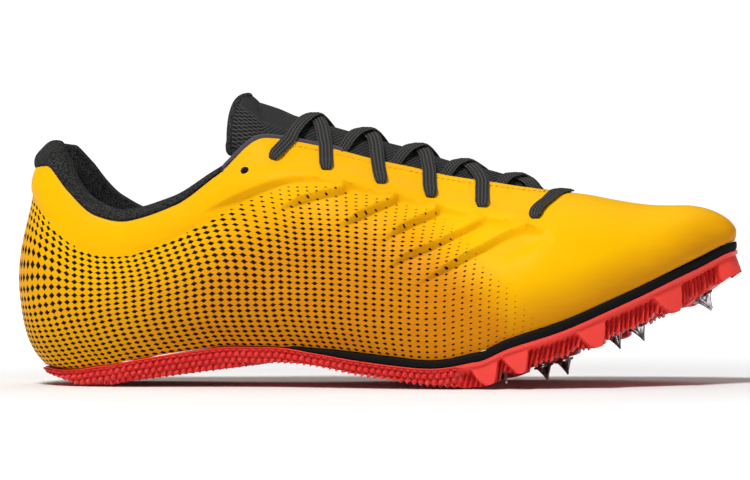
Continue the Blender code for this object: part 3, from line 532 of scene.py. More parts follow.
def spike_seat(along, across, recess):
    """Middle of a spike's seat and the direction in which the spike points, square to the sole."""
    step = 0.02
    slope = (ground_height(along + step) - ground_height(along - step)) / (2 * step * LENGTH)
    axis = unit(np.array([float(slope), 0.0, -1.0]))
    height = float(ground_height(along)) + LUG_DROP * recess
    return np.array([x_at(along), across * BALL_WIDTH, height]), axis


# The photograph's camera: its frame in pixels, the size of a pixel at the shoe, and its angles in degrees
PICTURE_WIDTH = 750
PICTURE_HEIGHT = 480
PIXEL = 0.0003907
VIEW_TURN = 10.0
VIEW_RISE = 0.5
VIEW_ROLL = 0.38
VIEW_DISTANCE = 1.6
VIEW_MIDDLE = (0.1078, 0.0, 0.0559)
SENSOR_WIDTH = 36.0

# Moulded relief of the side: how far it stands proud, and how softly each side of it falls away
CREST_RISE = 0.0027
CREST_HALF_WIDTH = 0.0008
CREST_ABOVE = 0.0048
CREST_BELOW = 0.0009
LOUVRE_RISE = 0.0032
LOUVRE_SLOPE = 0.0100
LOUVRE_DROP = 0.0007
SCOOP_DEPTH = 0.0011
SCOOP_WIDTH = 0.0026
PANEL_PUFF = 0.0012
HEEL_PUFF = 0.0024
CREASE_DEPTH = 0.0005
CREASE_WIDTH = 0.0035

# Lines of that relief
CREST_LINE = ((185, 232), (200, 212), (225, 200), (250, 190), (265, 184), (280, 180), (300, 178), (320, 179),
              (340, 182), (360, 187), (380, 193), (400, 197), (420, 203), (440, 208), (460, 213), (480, 217),
              (500, 222), (520, 225.5), (535, 227), (551, 228))
LOUVRE_LINES = (
    ((347, 190), (300, 200), (270, 213)),
    ((398, 200), (360, 215), (330, 230)),
    ((440, 212), (400, 229), (375, 245)),
    ((484, 223), (436, 245), (400, 259), (375, 280)),
    ((540, 229), (525, 231), (483, 249), (447, 267), (400, 293)),
)
SCOOP_LINE = ((551, 230), (530, 236), (505, 248), (480, 262))
PANEL_CREASE_LINE = ((185, 220), (210, 203), (235, 190))

# Where the dots of the knit begin below the plain panels, where they end towards the toe, and their size
DOT_TOP_LINE = ((10, 172), (30, 180), (33, 195), (45, 217), (60, 234), (70, 243), (80, 248), (90, 252),
                (100, 255), (115, 256), (130, 255), (150, 248), (170, 240), (190, 230), (210, 220),
                (235, 206), (260, 195), (285, 187), (300, 184), (340, 188), (380, 199), (420, 209),
                (460, 219), (500, 228), (551, 234), (750, 260))
DOT_END_LINE = ((200, 445), (225, 450), (245, 470), (262, 480), (280, 500), (300, 520), (320, 540),
                (360, 560))
DOT_FADE_LINE = ((10, 1.0), (240, 1.0), (330, 0.92), (400, 0.78), (430, 0.66), (480, 0.50), (530, 0.28),
                 (560, 0.0))
# Orange of the knit's ground along the side, and near the sole at the front of the vamp: partly the knit's own
# colour and partly painted shade
TONE_LINE = ((10, 0.40), (100, 0.50), (220, 0.90), (420, 1.00), (560, 0.90))
SOLE_SHADE = 0.75
DOT_COLUMN = 0.0035
DOT_ROW = 0.00213
DOT_HALF_WIDTH = 0.00150
DOT_HALF_HEIGHT = 0.00088
DOT_SHARPNESS = 6.0

# Height of the plain panel that the rows of dots straighten to, and the rows of the rib table over which they
# do so
DOT_PANEL_HEIGHT = 0.045
DOT_TILT = 0.8
DOT_TILT_START = 5.5
DOT_TILT_END = 8.5


def view_axes():
    """Right, upward and backward directions of the photograph's camera."""
    turn, rise, roll = (math.radians(angle) for angle in (VIEW_TURN, VIEW_RISE, VIEW_ROLL))
    back = np.array([math.sin(turn) * math.cos(rise), -math.cos(turn) * math.cos(rise), math.sin(rise)])
    right = np.array([math.cos(turn), math.sin(turn), 0.0])
    up = np.cross(back, right)
    return right * math.cos(roll) - up * math.sin(roll), right * math.sin(roll) + up * math.cos(roll), back


def as_seen(points):
    """Picture coordinates of points. The inner side of the shoe is read as the mirror of its outer side."""
    right, up, back = view_axes()
    folded = np.stack([points[..., 0], -np.abs(points[..., 1]), points[..., 2]], axis=-1)
    offset = folded - np.array(VIEW_MIDDLE)
    scale = VIEW_DISTANCE / PIXEL / (VIEW_DISTANCE - offset @ back)
    return PICTURE_WIDTH / 2 + offset @ right * scale, PICTURE_HEIGHT / 2 - offset @ up * scale


def smooth_path(points, count):
    """Evenly spaced points on a smooth curve through a short list."""
    points = np.array(points, float)
    run = np.concatenate([[0], np.cumsum(np.linalg.norm(np.diff(points, axis=0), axis=1))])
    slopes = np.gradient(points, run, axis=0)
    at = np.linspace(0, run[-1], count)
    row = np.clip(np.searchsorted(run, at, side="right") - 1, 0, len(run) - 2)
    step = (run[row + 1] - run[row])[:, None]
    share = (at - run[row])[:, None] / step
    return hermite(points[row], points[row + 1], slopes[row] * step, slopes[row + 1] * step, share)


def line_offset(seen, line):
    """Signed distance from a line, in metres, and the share of its length. A line that runs to the right is
    positive below, and one that runs to the left is positive above."""
    x, y = seen
    path = smooth_path(line, 40)
    best = np.full(x.shape, np.inf)
    side = np.ones(x.shape)
    share = np.zeros(x.shape)
    for i, (start, end) in enumerate(zip(path, path[1:])):
        run = end - start
        part = np.clip(((x - start[0]) * run[0] + (y - start[1]) * run[1]) / (run @ run), 0, 1)
        off_x = x - start[0] - part * run[0]
        off_y = y - start[1] - part * run[1]
        distance = np.hypot(off_x, off_y)
        nearer = distance < best
        best = np.where(nearer, distance, best)
        side = np.where(nearer, np.sign(run[0] * off_y - run[1] * off_x), side)
        share = np.where(nearer, (i + part) / (len(path) - 1), share)
    return best * side * PIXEL, share


def fall(distance, width):
    """1 at no distance, falling softly to 0 over about twice the width."""
    return np.exp(-np.square(np.maximum(distance, 0) / width))


def graded(*stretches):
    """Values that run through stretches of (start, end, steps)."""
    parts = [np.linspace(start, end, steps, endpoint=False) for start, end, steps in stretches]
    return np.concatenate([*parts, [stretches[-1][1]]])


def run_lengths(points):
    """Distance travelled along each line of a grid of points."""
    step = np.linalg.norm(np.diff(points, axis=1), axis=-1)
    return np.concatenate([np.zeros((len(points), 1)), np.cumsum(step, axis=1)], axis=1)


# Meshes

MERGE = 2e-6


def grid_faces(rows, columns, first=0, wrap_rows=False, wrap_columns=False):
    """Quads of a grid of points that starts at a given index."""
    index = first + np.arange(rows * columns).reshape(rows, columns)
    if wrap_rows:
        index = np.vstack([index, index[:1]])
    if wrap_columns:
        index = np.hstack([index, index[:, :1]])
    return np.stack([index[:-1, :-1], index[:-1, 1:], index[1:, 1:], index[1:, :-1]], -1).reshape(-1, 4)


def cap_faces(first, count):
    """Quads across one closed section."""
    low = np.arange(count // 2)
    return first + np.stack([low, low + 1, (count - low - 2) % count, (count - low - 1) % count], -1)


def loop_body(sections):
    """Faces of a solid through closed sections, with its two ends filled."""
    rows, columns = sections.shape[:2]
    last = (rows - 1) * columns
    return np.concatenate([grid_faces(rows, columns, wrap_columns=True), cap_faces(0, columns)[:-1],
                           cap_faces(last, columns)[:-1]])


def add_mesh(name, points, faces, materials, values=None, face_slots=None, sharp=60):
    """One closed piece that rides on the shoe, with vectors on its points for the materials to read."""
    mesh = bpy.data.meshes.new(name)
    mesh.from_pydata(np.reshape(points, (-1, 3)).tolist(), [], np.asarray(faces).tolist())
    for key, value in (values or {}).items():
        layer = mesh.attributes.new(key, "FLOAT_VECTOR", "POINT")
        layer.data.foreach_set("vector", np.asarray(value, np.float32).reshape(-1))
    if face_slots is not None:
        mesh.polygons.foreach_set("material_index", np.asarray(face_slots, np.int32))
    bm = bmesh.new()
    bm.from_mesh(mesh)
    bmesh.ops.remove_doubles(bm, verts=bm.verts, dist=MERGE)
    bmesh.ops.recalc_face_normals(bm, faces=bm.faces)
    bm.to_mesh(mesh)
    bm.free()
    mesh.shade_smooth()
    mesh.set_sharp_from_angle(angle=math.radians(sharp))
    for material in materials:
        mesh.materials.append(material)
    piece = bpy.data.objects.new(name, mesh)
    bpy.context.scene.collection.objects.link(piece)
    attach(piece, "root")
    return piece


# Materials

YELLOW = (0.94, 0.490, 0.001)
YELLOW_STREAK = (1.0, 0.60, 0.01)
ORANGE = (0.66, 0.225, 0.006)
DOT_BLACK = (0.012, 0.008, 0.010)
LINING = (0.030, 0.022, 0.034)
LINING_LIGHT = (0.055, 0.045, 0.060)
KNIT_DARK = (0.003, 0.003, 0.003)
KNIT_LIGHT = (0.100, 0.099, 0.096)
MESH_DARK = (0.002, 0.002, 0.002)
MESH_LIGHT = (0.062, 0.062, 0.062)
PATCH_BLACK = (0.012, 0.012, 0.013)
BRAID_DARK = (0.003, 0.003, 0.003)
BRAID_LIGHT = (0.080, 0.078, 0.072)
FOAM_BLACK = (0.004, 0.004, 0.004)
FOAM_LIGHT = (0.010, 0.010, 0.010)
INSOLE_GREY = (0.050, 0.050, 0.054)
INSOLE_LIGHT = (0.10, 0.10, 0.105)
CORAL = (0.92, 0.062, 0.048)
CORAL_SHADE = (0.50, 0.010, 0.014)
STEEL = (0.82, 0.82, 0.84)
# Dark of the streaks painted into the steel as reflections
STEEL_REFLECTION_DARK = (0.10, 0.10, 0.11)
THREAD_DARK = (0.80, 0.36, 0.01)
THREAD_LIGHT = (1.0, 0.60, 0.05)
FLOOR_WHITE = (0.90, 0.90, 0.90)
FLOOR_LIGHT = (0.93, 0.93, 0.93)

# Sizes of the weaves, and scales of the noise in the materials
WALE_PITCH = 0.0011
COURSE_PITCH = 0.0009
LINING_PITCH = 0.0010
MESH_PITCH = 0.00165
BRAID_PITCH = 0.0013
STREAK_SCALE = 90.0
STREAK_STRETCH = (0.25, 1.0, 5.0)
PATCH_SCALE = 28.0
CLOTH_SCALE = 1500.0
MOTTLE_SCALE = 60.0
GRAIN_SCALE = 1200.0
FLOOR_SCALE = 3.0
BRUSH_SCALE = 700.0
BRUSH_STRETCH = (1.0, 1.0, 0.12)


def new_material(name, roughness, **shader_values):
    """A material with the values that are the same all over it. Returns it, its node tree and its shader."""
    made = bpy.data.materials.new(name)
    made.use_nodes = True
    shader = made.node_tree.nodes["Principled BSDF"]
    shader.inputs["Roughness"].default_value = roughness
    for key, value in shader_values.items():
        shader.inputs[key.replace("_", " ")].default_value = value
    return made, made.node_tree, shader


def node(tree, kind, settings=None, **inputs):
    """A node with its settings, and its inputs by name or as in_0, each a value or another socket."""
    made = tree.nodes.new("ShaderNode" + kind)
    for key, value in (settings or {}).items():
        setattr(made, key, value)
    for key, value in inputs.items():
        socket = made.inputs[int(key[3:]) if key.startswith("in_") else key.replace("_", " ")]
        if isinstance(value, bpy.types.NodeSocket):
            tree.links.new(value, socket)
        else:
            socket.default_value = value
    return made


def calc(tree, operation, *values, clamp=False):
    """Output of a Math node."""
    inputs = {f"in_{i}": value for i, value in enumerate(values)}
    return node(tree, "Math", {"operation": operation, "use_clamp": clamp}, **inputs).outputs[0]


def plus(tree, first, second, clamp=False):
    return calc(tree, "ADD", first, second, clamp=clamp)


def minus(tree, first, second):
    return calc(tree, "SUBTRACT", first, second)


def times(tree, first, second, clamp=False):
    return calc(tree, "MULTIPLY", first, second, clamp=clamp)


def waves(tree, value, length, operation="SINE"):
    """Waves of a given length over a value."""
    return calc(tree, operation, times(tree, value, 2 * math.pi / length))


def read_vector(tree, name):
    """The three parts of a vector that the mesh carries."""
    source = node(tree, "Attribute", {"attribute_name": name}).outputs["Vector"]
    return node(tree, "SeparateXYZ", in_0=source).outputs


def mixed(tree, share, first, second):
    """Output of a colour mix."""
    colors = {}
    for key, value in (("in_6", first), ("in_7", second)):
        colors[key] = value if isinstance(value, bpy.types.NodeSocket) else (*value, 1.0)
    return node(tree, "Mix", {"data_type": "RGBA"}, in_0=share, **colors).outputs[2]


def noise(tree, scale, detail=2.0, stretch=(1.0, 1.0, 1.0)):
    """Noise over the piece's own coordinates, in metres."""
    placed = node(tree, "Mapping", Vector=node(tree, "TexCoord").outputs["Object"], Scale=stretch).outputs[0]
    return node(tree, "TexNoise", Vector=placed, Scale=scale, Detail=detail).outputs["Fac"]


def set_color(tree, shader, color):
    tree.links.new(color, shader.inputs["Base Color"])


def set_bump(tree, shader, height, distance, strength=1.0, onto=None):
    """Bump of a height, in metres for a height of 1, joined to the shader."""
    inputs = {"Height": height, "Distance": distance, "Strength": strength}
    if onto is not None:
        inputs["Normal"] = onto
    bump = node(tree, "Bump", **inputs)
    tree.links.new(bump.outputs[0], shader.inputs["Normal"])
    return bump.outputs[0]


def shell_material():
    """Yellow welded skin over an orange knit with rows of dark diamonds. The lattice gives a point's column,
    row and dot size, and a second vector its orange, partly the knit's own colour and partly painted shade."""
    made, tree, shader = new_material("upper_yellow", 0.42, Specular_IOR_Level=0.03)
    column, row, size = read_vector(tree, "lattice")
    orange_and_shade = read_vector(tree, "hue_and_shade")[0]
    parts = (minus(tree, calc(tree, "FRACT", place), 0.5) for place in (column, row))
    across, along = (calc(tree, "ABSOLUTE", part) for part in parts)
    reach = plus(tree, times(tree, across, DOT_COLUMN / DOT_HALF_WIDTH),
                 times(tree, along, DOT_ROW / DOT_HALF_HEIGHT))
    mask = times(tree, minus(tree, size, reach), DOT_SHARPNESS, clamp=True)
    streaks = noise(tree, STREAK_SCALE, 4.0, STREAK_STRETCH)
    patches = times(tree, minus(tree, noise(tree, PATCH_SCALE), 0.5), 0.25)
    ground = mixed(tree, plus(tree, orange_and_shade, patches, clamp=True), YELLOW, ORANGE)
    streaked = mixed(tree, times(tree, minus(tree, streaks, 0.45), 0.30, clamp=True), ground, YELLOW_STREAK)
    set_color(tree, shader, mixed(tree, mask, streaked, DOT_BLACK))
    rough = plus(tree, times(tree, mask, 0.35), plus(tree, 0.34, times(tree, streaks, 0.16)))
    tree.links.new(rough, shader.inputs["Roughness"])
    fine = set_bump(tree, shader, noise(tree, CLOTH_SCALE), 0.00012, 0.5)
    set_bump(tree, shader, minus(tree, times(tree, streaks, 0.25), mask), 0.00035, 0.8, onto=fine)
    return made


def grained_material(name, roughness, grain, colors, bump, **shader_values):
    """A plain material whose colour and height follow one grain, given by its scale and detail."""
    made, tree, shader = new_material(name, roughness, **shader_values)
    height = noise(tree, *grain)
    set_color(tree, shader, mixed(tree, height, *colors))
    set_bump(tree, shader, height, *bump)
    return made


def lining_material():
    return grained_material("upper_lining", 0.85, (1400.0, 3.0), (LINING, LINING_LIGHT), (0.0002, 0.6),
                            Sheen_Weight=0.25, Sheen_Roughness=0.5)


def foam_material():
    return grained_material("midsole_foam", 0.7, (1800.0, 2.0), (FOAM_BLACK, FOAM_LIGHT), (0.0001, 0.5),
                            Specular_IOR_Level=0.08)


def insole_material():
    return grained_material("insole_cloth", 0.9, (CLOTH_SCALE, 3.0), (INSOLE_GREY, INSOLE_LIGHT),
                            (0.0002, 0.6), Sheen_Weight=0.3)


def thread_material():
    return grained_material("stitch_thread", 0.6, (2500.0, 2.0), (THREAD_DARK, THREAD_LIGHT), (0.0001, 0.5))


def knit_material():
    """Black heathered knit. The weave gives metres along and round the collar, and how far it is lining."""
    made, tree, shader = new_material("collar_knit", 0.9, Specular_IOR_Level=0.15)
    along, around, lining = read_vector(tree, "weave")
    stitch = times(tree, waves(tree, along, WALE_PITCH), waves(tree, around, COURSE_PITCH))
    rib = waves(tree, along, LINING_PITCH)
    cloth = plus(tree, times(tree, stitch, minus(tree, 1.0, lining)), times(tree, rib, lining))
    raised = plus(tree, times(tree, cloth, 0.42), 0.5)
    heather = calc(tree, "MULTIPLY_ADD", noise(tree, CLOTH_SCALE, 3.0), 3.2, -1.1, clamp=True)
    # Partly painted shade: the colour is lighter on the raised stitches and darker between them, times the
    # yarn's own heather
    light = times(tree, raised, times(tree, heather, 1.1), clamp=True)
    set_color(tree, shader, mixed(tree, light, KNIT_DARK, KNIT_LIGHT))
    set_bump(tree, shader, plus(tree, raised, times(tree, heather, 0.3)), 0.0005, 0.8)
    return made


def tongue_material():
    """Open spacer mesh with cells painted dark, as shade inside the holes. The weave gives metres along and
    across, and 1 on the smooth patch.
    """
    made, tree, shader = new_material("tongue_mesh", 0.75, Specular_IOR_Level=0.2)
    along, across, patch = read_vector(tree, "weave")
    slants = (plus(tree, along, across), minus(tree, along, across))
    first, second = (calc(tree, "ABSOLUTE", waves(tree, slant, 2 * MESH_PITCH)) for slant in slants)
    grid = times(tree, minus(tree, times(tree, first, second), 0.18), 3.4, clamp=True)
    open_cell = times(tree, grid, minus(tree, 1.0, patch))
    # Painted shade: the open cells are coloured darker
    base = mixed(tree, open_cell, MESH_LIGHT, MESH_DARK)
    set_color(tree, shader, mixed(tree, times(tree, patch, 0.85), base, PATCH_BLACK))
    thread = calc(tree, "MAXIMUM", first, second)
    set_bump(tree, shader, minus(tree, times(tree, thread, 0.2), open_cell), 0.0005, 0.9)
    return made


def braid_material():
    """Ribbed flat braid. The weave gives metres along the lace, and the place across it from -1 to 1."""
    made, tree, shader = new_material("lace_braid", 0.8, Specular_IOR_Level=0.2)
    along, across = read_vector(tree, "weave")[:2]
    slant = plus(tree, times(tree, along, 2 * math.pi / BRAID_PITCH), times(tree, across, 9.0))
    braid = plus(tree, times(tree, calc(tree, "SINE", slant), 0.5), 0.5)
    rib = plus(tree, times(tree, waves(tree, across, 2 / LACE_RIBS, "COSINE"), 0.5), 0.5)
    # Painted shade and highlight: the colour is lighter on the crests of the ribs and braid and darker in
    # their grooves
    lit = plus(tree, times(tree, rib, 0.6), times(tree, braid, 0.4))
    set_color(tree, shader, mixed(tree, lit, BRAID_DARK, BRAID_LIGHT))
    set_bump(tree, shader, plus(tree, times(tree, braid, 0.5), rib), 0.00025, 0.7)
    return made


def plate_material():
    """Moulded coral, with painted shade: it darkens the deeper in the tread a point lies, which a vector of
    the mesh gives.
    """
    made, tree, shader = new_material("sole_plate", 0.38, Specular_IOR_Level=0.35)
    deep = read_vector(tree, "hue_and_shade")[0]
    mottle = times(tree, minus(tree, noise(tree, MOTTLE_SCALE, 3.0), 0.5), 0.3)
    set_color(tree, shader, mixed(tree, plus(tree, deep, mottle, clamp=True), CORAL, CORAL_SHADE))
    grain = noise(tree, GRAIN_SCALE)
    tree.links.new(plus(tree, 0.30, times(tree, grain, 0.22)), shader.inputs["Roughness"])
    set_bump(tree, shader, grain, 0.00008, 0.5)
    return made


def steel_material():
    """Brushed bright steel with painted reflections: dark streaks along each spike stand in for dark
    surroundings mirrored in it.
    """
    made, tree, shader = new_material("spike_steel", 0.2, Metallic=1.0)
    brushed = noise(tree, BRUSH_SCALE, 2.0, BRUSH_STRETCH)
    # Painted reflection: dark streaks in the steel's colour
    streaks = times(tree, minus(tree, brushed, 0.42), 6.0, clamp=True)
    set_color(tree, shader, mixed(tree, streaks, STEEL_REFLECTION_DARK, STEEL))
    tree.links.new(plus(tree, 0.04, times(tree, brushed, 0.12)), shader.inputs["Roughness"])
    set_bump(tree, shader, brushed, 0.00004, 0.4)
    return made


# Upper

SHELL_ROWS = ((0.0, 6.0, 84), (6.0, 13.6, 236), (13.6, TOE_ROW, 76))
SHELL_LEVELS = ((0.0, 1.0, 20), (1.0, 2.0, 78))
LINING_STEPS = ((0.0, 1.0, 5), (1.0, 2.0, 9))
RIM_FADE = 0.03
LINING_SLOT = 1


def side_relief(points, levels):
    """How far the moulded shapes of the side stand proud of the plain wall."""
    seen = as_seen(points)
    below, share = line_offset(seen, CREST_LINE)
    ends = eased(share, 0.02, 0.22) * eased(1 - share, 0.0, 0.10)
    gap = np.abs(below) - CREST_HALF_WIDTH
    relief = CREST_RISE * ends * np.where(below > 0, fall(gap, CREST_BELOW), fall(gap, CREST_ABOVE))
    under_crest = eased(below, 0.0, CREST_BELOW * 2)
    for line in LOUVRE_LINES:
        above, share = line_offset(seen, line)
        ramp = np.clip(1 - above / LOUVRE_SLOPE, 0, 1) ** 1.6
        edge = np.where(above > 0, ramp, fall(-above, LOUVRE_DROP))
        ends = eased(share, -0.04, 0.08) * (1 - eased(share, 0.55, 1.0))
        relief = relief + LOUVRE_RISE * edge * under_crest * ends
    beyond, share = line_offset(seen, SCOOP_LINE)
    ends = eased(share, 0.0, 0.1) * (1 - eased(share, 0.4, 1.0))
    relief = relief - SCOOP_DEPTH * fall(np.abs(beyond + SCOOP_WIDTH * 0.8), SCOOP_WIDTH) * ends
    crease, share = line_offset(seen, PANEL_CREASE_LINE)
    relief = relief - CREASE_DEPTH * fall(np.abs(crease), CREASE_WIDTH) * np.sin(np.pi * share)
    top = through(DOT_TOP_LINE, seen[0])
    edge = as_seen(np.broadcast_to(points[:, -1:, :], points.shape))[1]
    inside = np.clip((seen[1] - edge) / np.maximum(top - edge, 1.0), 0, 1)
    puffed = np.sin(np.pi * inside) ** 0.8 * (1 - eased(seen[0], 215, 290))
    relief = relief + PANEL_PUFF * puffed
    heel = 1 - eased(along_at(points[..., 0]), 0.02, 0.12)
    relief = relief + HEEL_PUFF * heel * (1 - eased(levels, 0.25, 0.9))
    return relief * eased(2 - levels, 0.0, RIM_FADE) * eased(levels, 0.0, 0.1)


def dot_lattice(at, outer):
    """Column and row of the dots, and their size, at each point of the shell."""
    dense = np.linspace(0, TOE_ROW, 1201)
    run = run_lengths(wide_line(dense)[None])[0]
    column = np.broadcast_to((np.interp(ring_row(at), dense, run) / DOT_COLUMN)[:, None], outer.shape[:2])
    height = run_lengths(outer)
    x, y = as_seen(outer)
    top = through(DOT_TOP_LINE, x)
    crossing = np.argmax(y < top, axis=1)
    panel = np.take_along_axis(height, crossing[:, None], axis=1)
    row_of_rib = ring_row(at)
    level_panel = np.where(row_of_rib < DOT_TILT_END, panel[:, 0], 0)[:, None]
    tilt = eased(height / np.maximum(panel, 1e-3), 0.30, 1.0) * (DOT_PANEL_HEIGHT - level_panel) / DOT_ROW
    row = height / DOT_ROW + tilt * DOT_TILT * (1 - eased(row_of_rib, DOT_TILT_START, DOT_TILT_END))[:, None]
    ends = through(DOT_END_LINE, y)
    fade = through(DOT_FADE_LINE, x)
    grown = eased(y - top, 0.0, 1.5) * (1 - 0.45 * eased(x, 200, 280) * (1 - eased(y - top, 5.0, 55.0)))
    size = fade * grown * (1 - eased(x - ends, -12.0, 14.0))
    # The orange deepens lower down the side and near the sole at the front: partly the knit's own colour and
    # partly painted shade
    orange_and_shade = (0.25 + 0.75 * eased(y - top, 0.0, 80.0)) * (1 - eased(x - ends, -60.0, 20.0))
    orange_and_shade = orange_and_shade * through(TONE_LINE, x)
    above_sole = as_seen(outer[:, :1])[1] - y
    orange_and_shade = np.maximum(orange_and_shade, SOLE_SHADE * eased(x, 440, 520) * (1 - eased(above_sole, 2, 60)))
    return np.stack([column, row, size], axis=-1), orange_and_shade


def make_shell():
    """The upper as one hollow skin: outer face, rolled edge, lining and foot, with its eyelets cut through."""
    rows = graded(*SHELL_ROWS)
    at = whole_ring(rows)
    levels = graded(*SHELL_LEVELS)
    places, heights = np.meshgrid(at, levels, indexing="ij")
    base = wall(places, heights)
    normal = wall_normal(places, heights)
    outer = base + normal * side_relief(base, heights)[..., None]
    lattice, orange_and_shade = dot_lattice(at, base)
    inner_places, inner_heights = np.meshgrid(at, graded(*LINING_STEPS)[::-1], indexing="ij")
    inner_normal = wall_normal(inner_places, inner_heights)
    inner_normal[:, -1] = unit(inner_normal[:, -1] * np.array([1.0, 1.0, 0.0]))
    inner = wall(inner_places, inner_heights) - inner_normal * UPPER_WALL
    lip = (outer[:, -1:] + inner[:, :1]) / 2 + lean_direction(at)[:, None] * UPPER_WALL * 0.3
    lip = np.where((ring_row(at) > VAMP_ROW - 1e-6)[:, None, None], (outer[:, -1:] + inner[:, :1]) / 2, lip)
    sections = np.concatenate([outer, lip, inner], axis=1)
    count = sections.shape[1]
    faces = grid_faces(len(at), count, wrap_rows=True, wrap_columns=True)
    column = np.tile(np.arange(count), len(at))
    row = np.repeat(np.arange(len(at)), count)
    crest = ring_row(at) > VAMP_ROW - 1e-6
    closed_edge = crest[row] & crest[(row + 1) % len(at)]
    outer_last, inner_first = outer.shape[1] - 1, outer.shape[1] + 1
    rim = (column >= outer_last) & (column < inner_first)
    keep = ~(rim & closed_edge)
    face_slots = np.where((column >= outer_last) & (column < count - 1), LINING_SLOT, 0)
    values = np.zeros(sections.shape)
    values[:, :outer.shape[1]] = lattice
    hue_and_shade = np.zeros(sections.shape)
    hue_and_shade[:, :outer.shape[1], 0] = orange_and_shade
    shell = add_mesh("upper_shell", sections, faces[keep], [shell_material(), lining_material()],
                     {"lattice": values, "hue_and_shade": hue_and_shade}, face_slots[keep])
    punch_eyelets(shell)
    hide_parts("upper")
    return shell


def punch_eyelets(shell):
    """Cuts the eyelets' holes and applies the cut."""
    holes = bmesh.new()
    for eyelet in named_rows(EYELET_COLUMNS, EYELETS):
        for side in (-1, 1):
            place, level = place_on_wall(**eyelet, side=side)
            turned = Vector(wall_normal(place, level)[0]).to_track_quat("Z", "Y").to_matrix().to_4x4()
            middle = Matrix.Translation(Vector(wall(place, level)[0])) @ turned
            bmesh.ops.create_cone(holes, cap_ends=True, segments=24, radius1=EYELET_RADIUS,
                                  radius2=EYELET_RADIUS, depth=6 * UPPER_WALL, matrix=middle)
    mesh = bpy.data.meshes.new("eyelet_punch")
    for face in holes.faces:
        face.material_index = LINING_SLOT
    holes.to_mesh(mesh)
    holes.free()
    punch = bpy.data.objects.new("eyelet_punch", mesh)
    bpy.context.scene.collection.objects.link(punch)
    cut = shell.modifiers.new("eyelets", "BOOLEAN")
    cut.operation = "DIFFERENCE"
    cut.solver = "MANIFOLD"
    cut.object = punch
    graph = bpy.context.evaluated_depsgraph_get()
    made = bpy.data.meshes.new_from_object(shell.evaluated_get(graph))
    shell.modifiers.clear()
    shell.data = made
    bpy.data.objects.remove(punch)


# Collar

COLLAR_SECTIONS = 190
COLLAR_AROUND = 72
INNER_HUMP = 0.0024
OUTER_HUMP = 0.0014

# Points of the collar's section that are moved at the heel: shares of its roll, pad and hump
HEEL_ROLL = (
    (5, -0.10, 0.03, 0.2),
    (6, -0.13, 0.12, 0.8),
    (7, 0.05, 0.25, 1.0),
    (8, 0.06, 0.12, 1.0),
    (9, 0.00, 0.00, 0.5),
)


def round_heel(corners, place, roll, pad):
    """Softer roll at the back of the heel, and a fuller one on the inner side behind the ankle."""
    back = 1 - eased(abs(place), 1.0, 3.5)
    inner = eased(-place, 2.0, 3.0) * (1 - eased(-place, 3.6, 5.0))
    outer = eased(place, 0.8, 1.8) * (1 - eased(place, 2.2, 3.2))
    extra = INNER_HUMP * inner + OUTER_HUMP * outer
    inward = unit((corners[9] - corners[4]) * np.array([1.0, 1.0, 0.0]))
    for index, rise, depth, fuller in HEEL_ROLL:
        corners[index] += inward * depth * pad * back
        corners[index, 2] += rise * roll * back + fuller * extra
    return corners


def make_collar():
    table = named_columns(COLLAR_COLUMNS, COLLAR)
    last = COLLAR[-1][0]
    sections = []
    for place in np.linspace(-last, last, COLLAR_SECTIONS):
        at = place % RING_ROWS
        roll = COLLAR_ROLL * monotone(table["row"], table["roll"], abs(place))
        pad = COLLAR_PAD * monotone(table["row"], table["pad"], abs(place))
        corners = round_heel(collar_section(at, roll, pad), place, roll, pad)
        turns = np.linspace(0, len(corners), COLLAR_AROUND, endpoint=False)
        sections.append(np.stack([closed_curve(corners[:, i], turns) for i in range(3)], axis=-1))
    sections = np.array(sections)
    around = run_lengths(sections)
    middle = sections.mean(axis=1)
    along = run_lengths(middle[None])[0]
    lining = np.broadcast_to(eased(np.linspace(0, 1, COLLAR_AROUND), 0.66, 0.74), around.shape)
    weave = np.stack([np.broadcast_to(along[:, None], around.shape), around, lining], axis=-1)
    collar = add_mesh("collar_pad", sections, loop_body(sections), [knit_material()],
                      {"weave": weave})
    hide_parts("collar")


# Tongue

TONGUE_ACROSS = 49
TONGUE_UNDER_ROWS = 60
TONGUE_TOP_STEPS = 26
BINDING_RADIUS = 0.0012
TONGUE_HALF_WIDTH = 0.0160
TONGUE_DROP = 0.0225
TONGUE_LIFT = 0.0035
TONGUE_ROUNDING = 0.8
TONGUE_PUFF = ((8.0, 0.0033), (8.37, 0.0023), (8.6, 0.0011), (9.0, 0.0005), (13.0, 0.0004))
PATCH_START = 0.30
PATCH_EDGE = 0.33


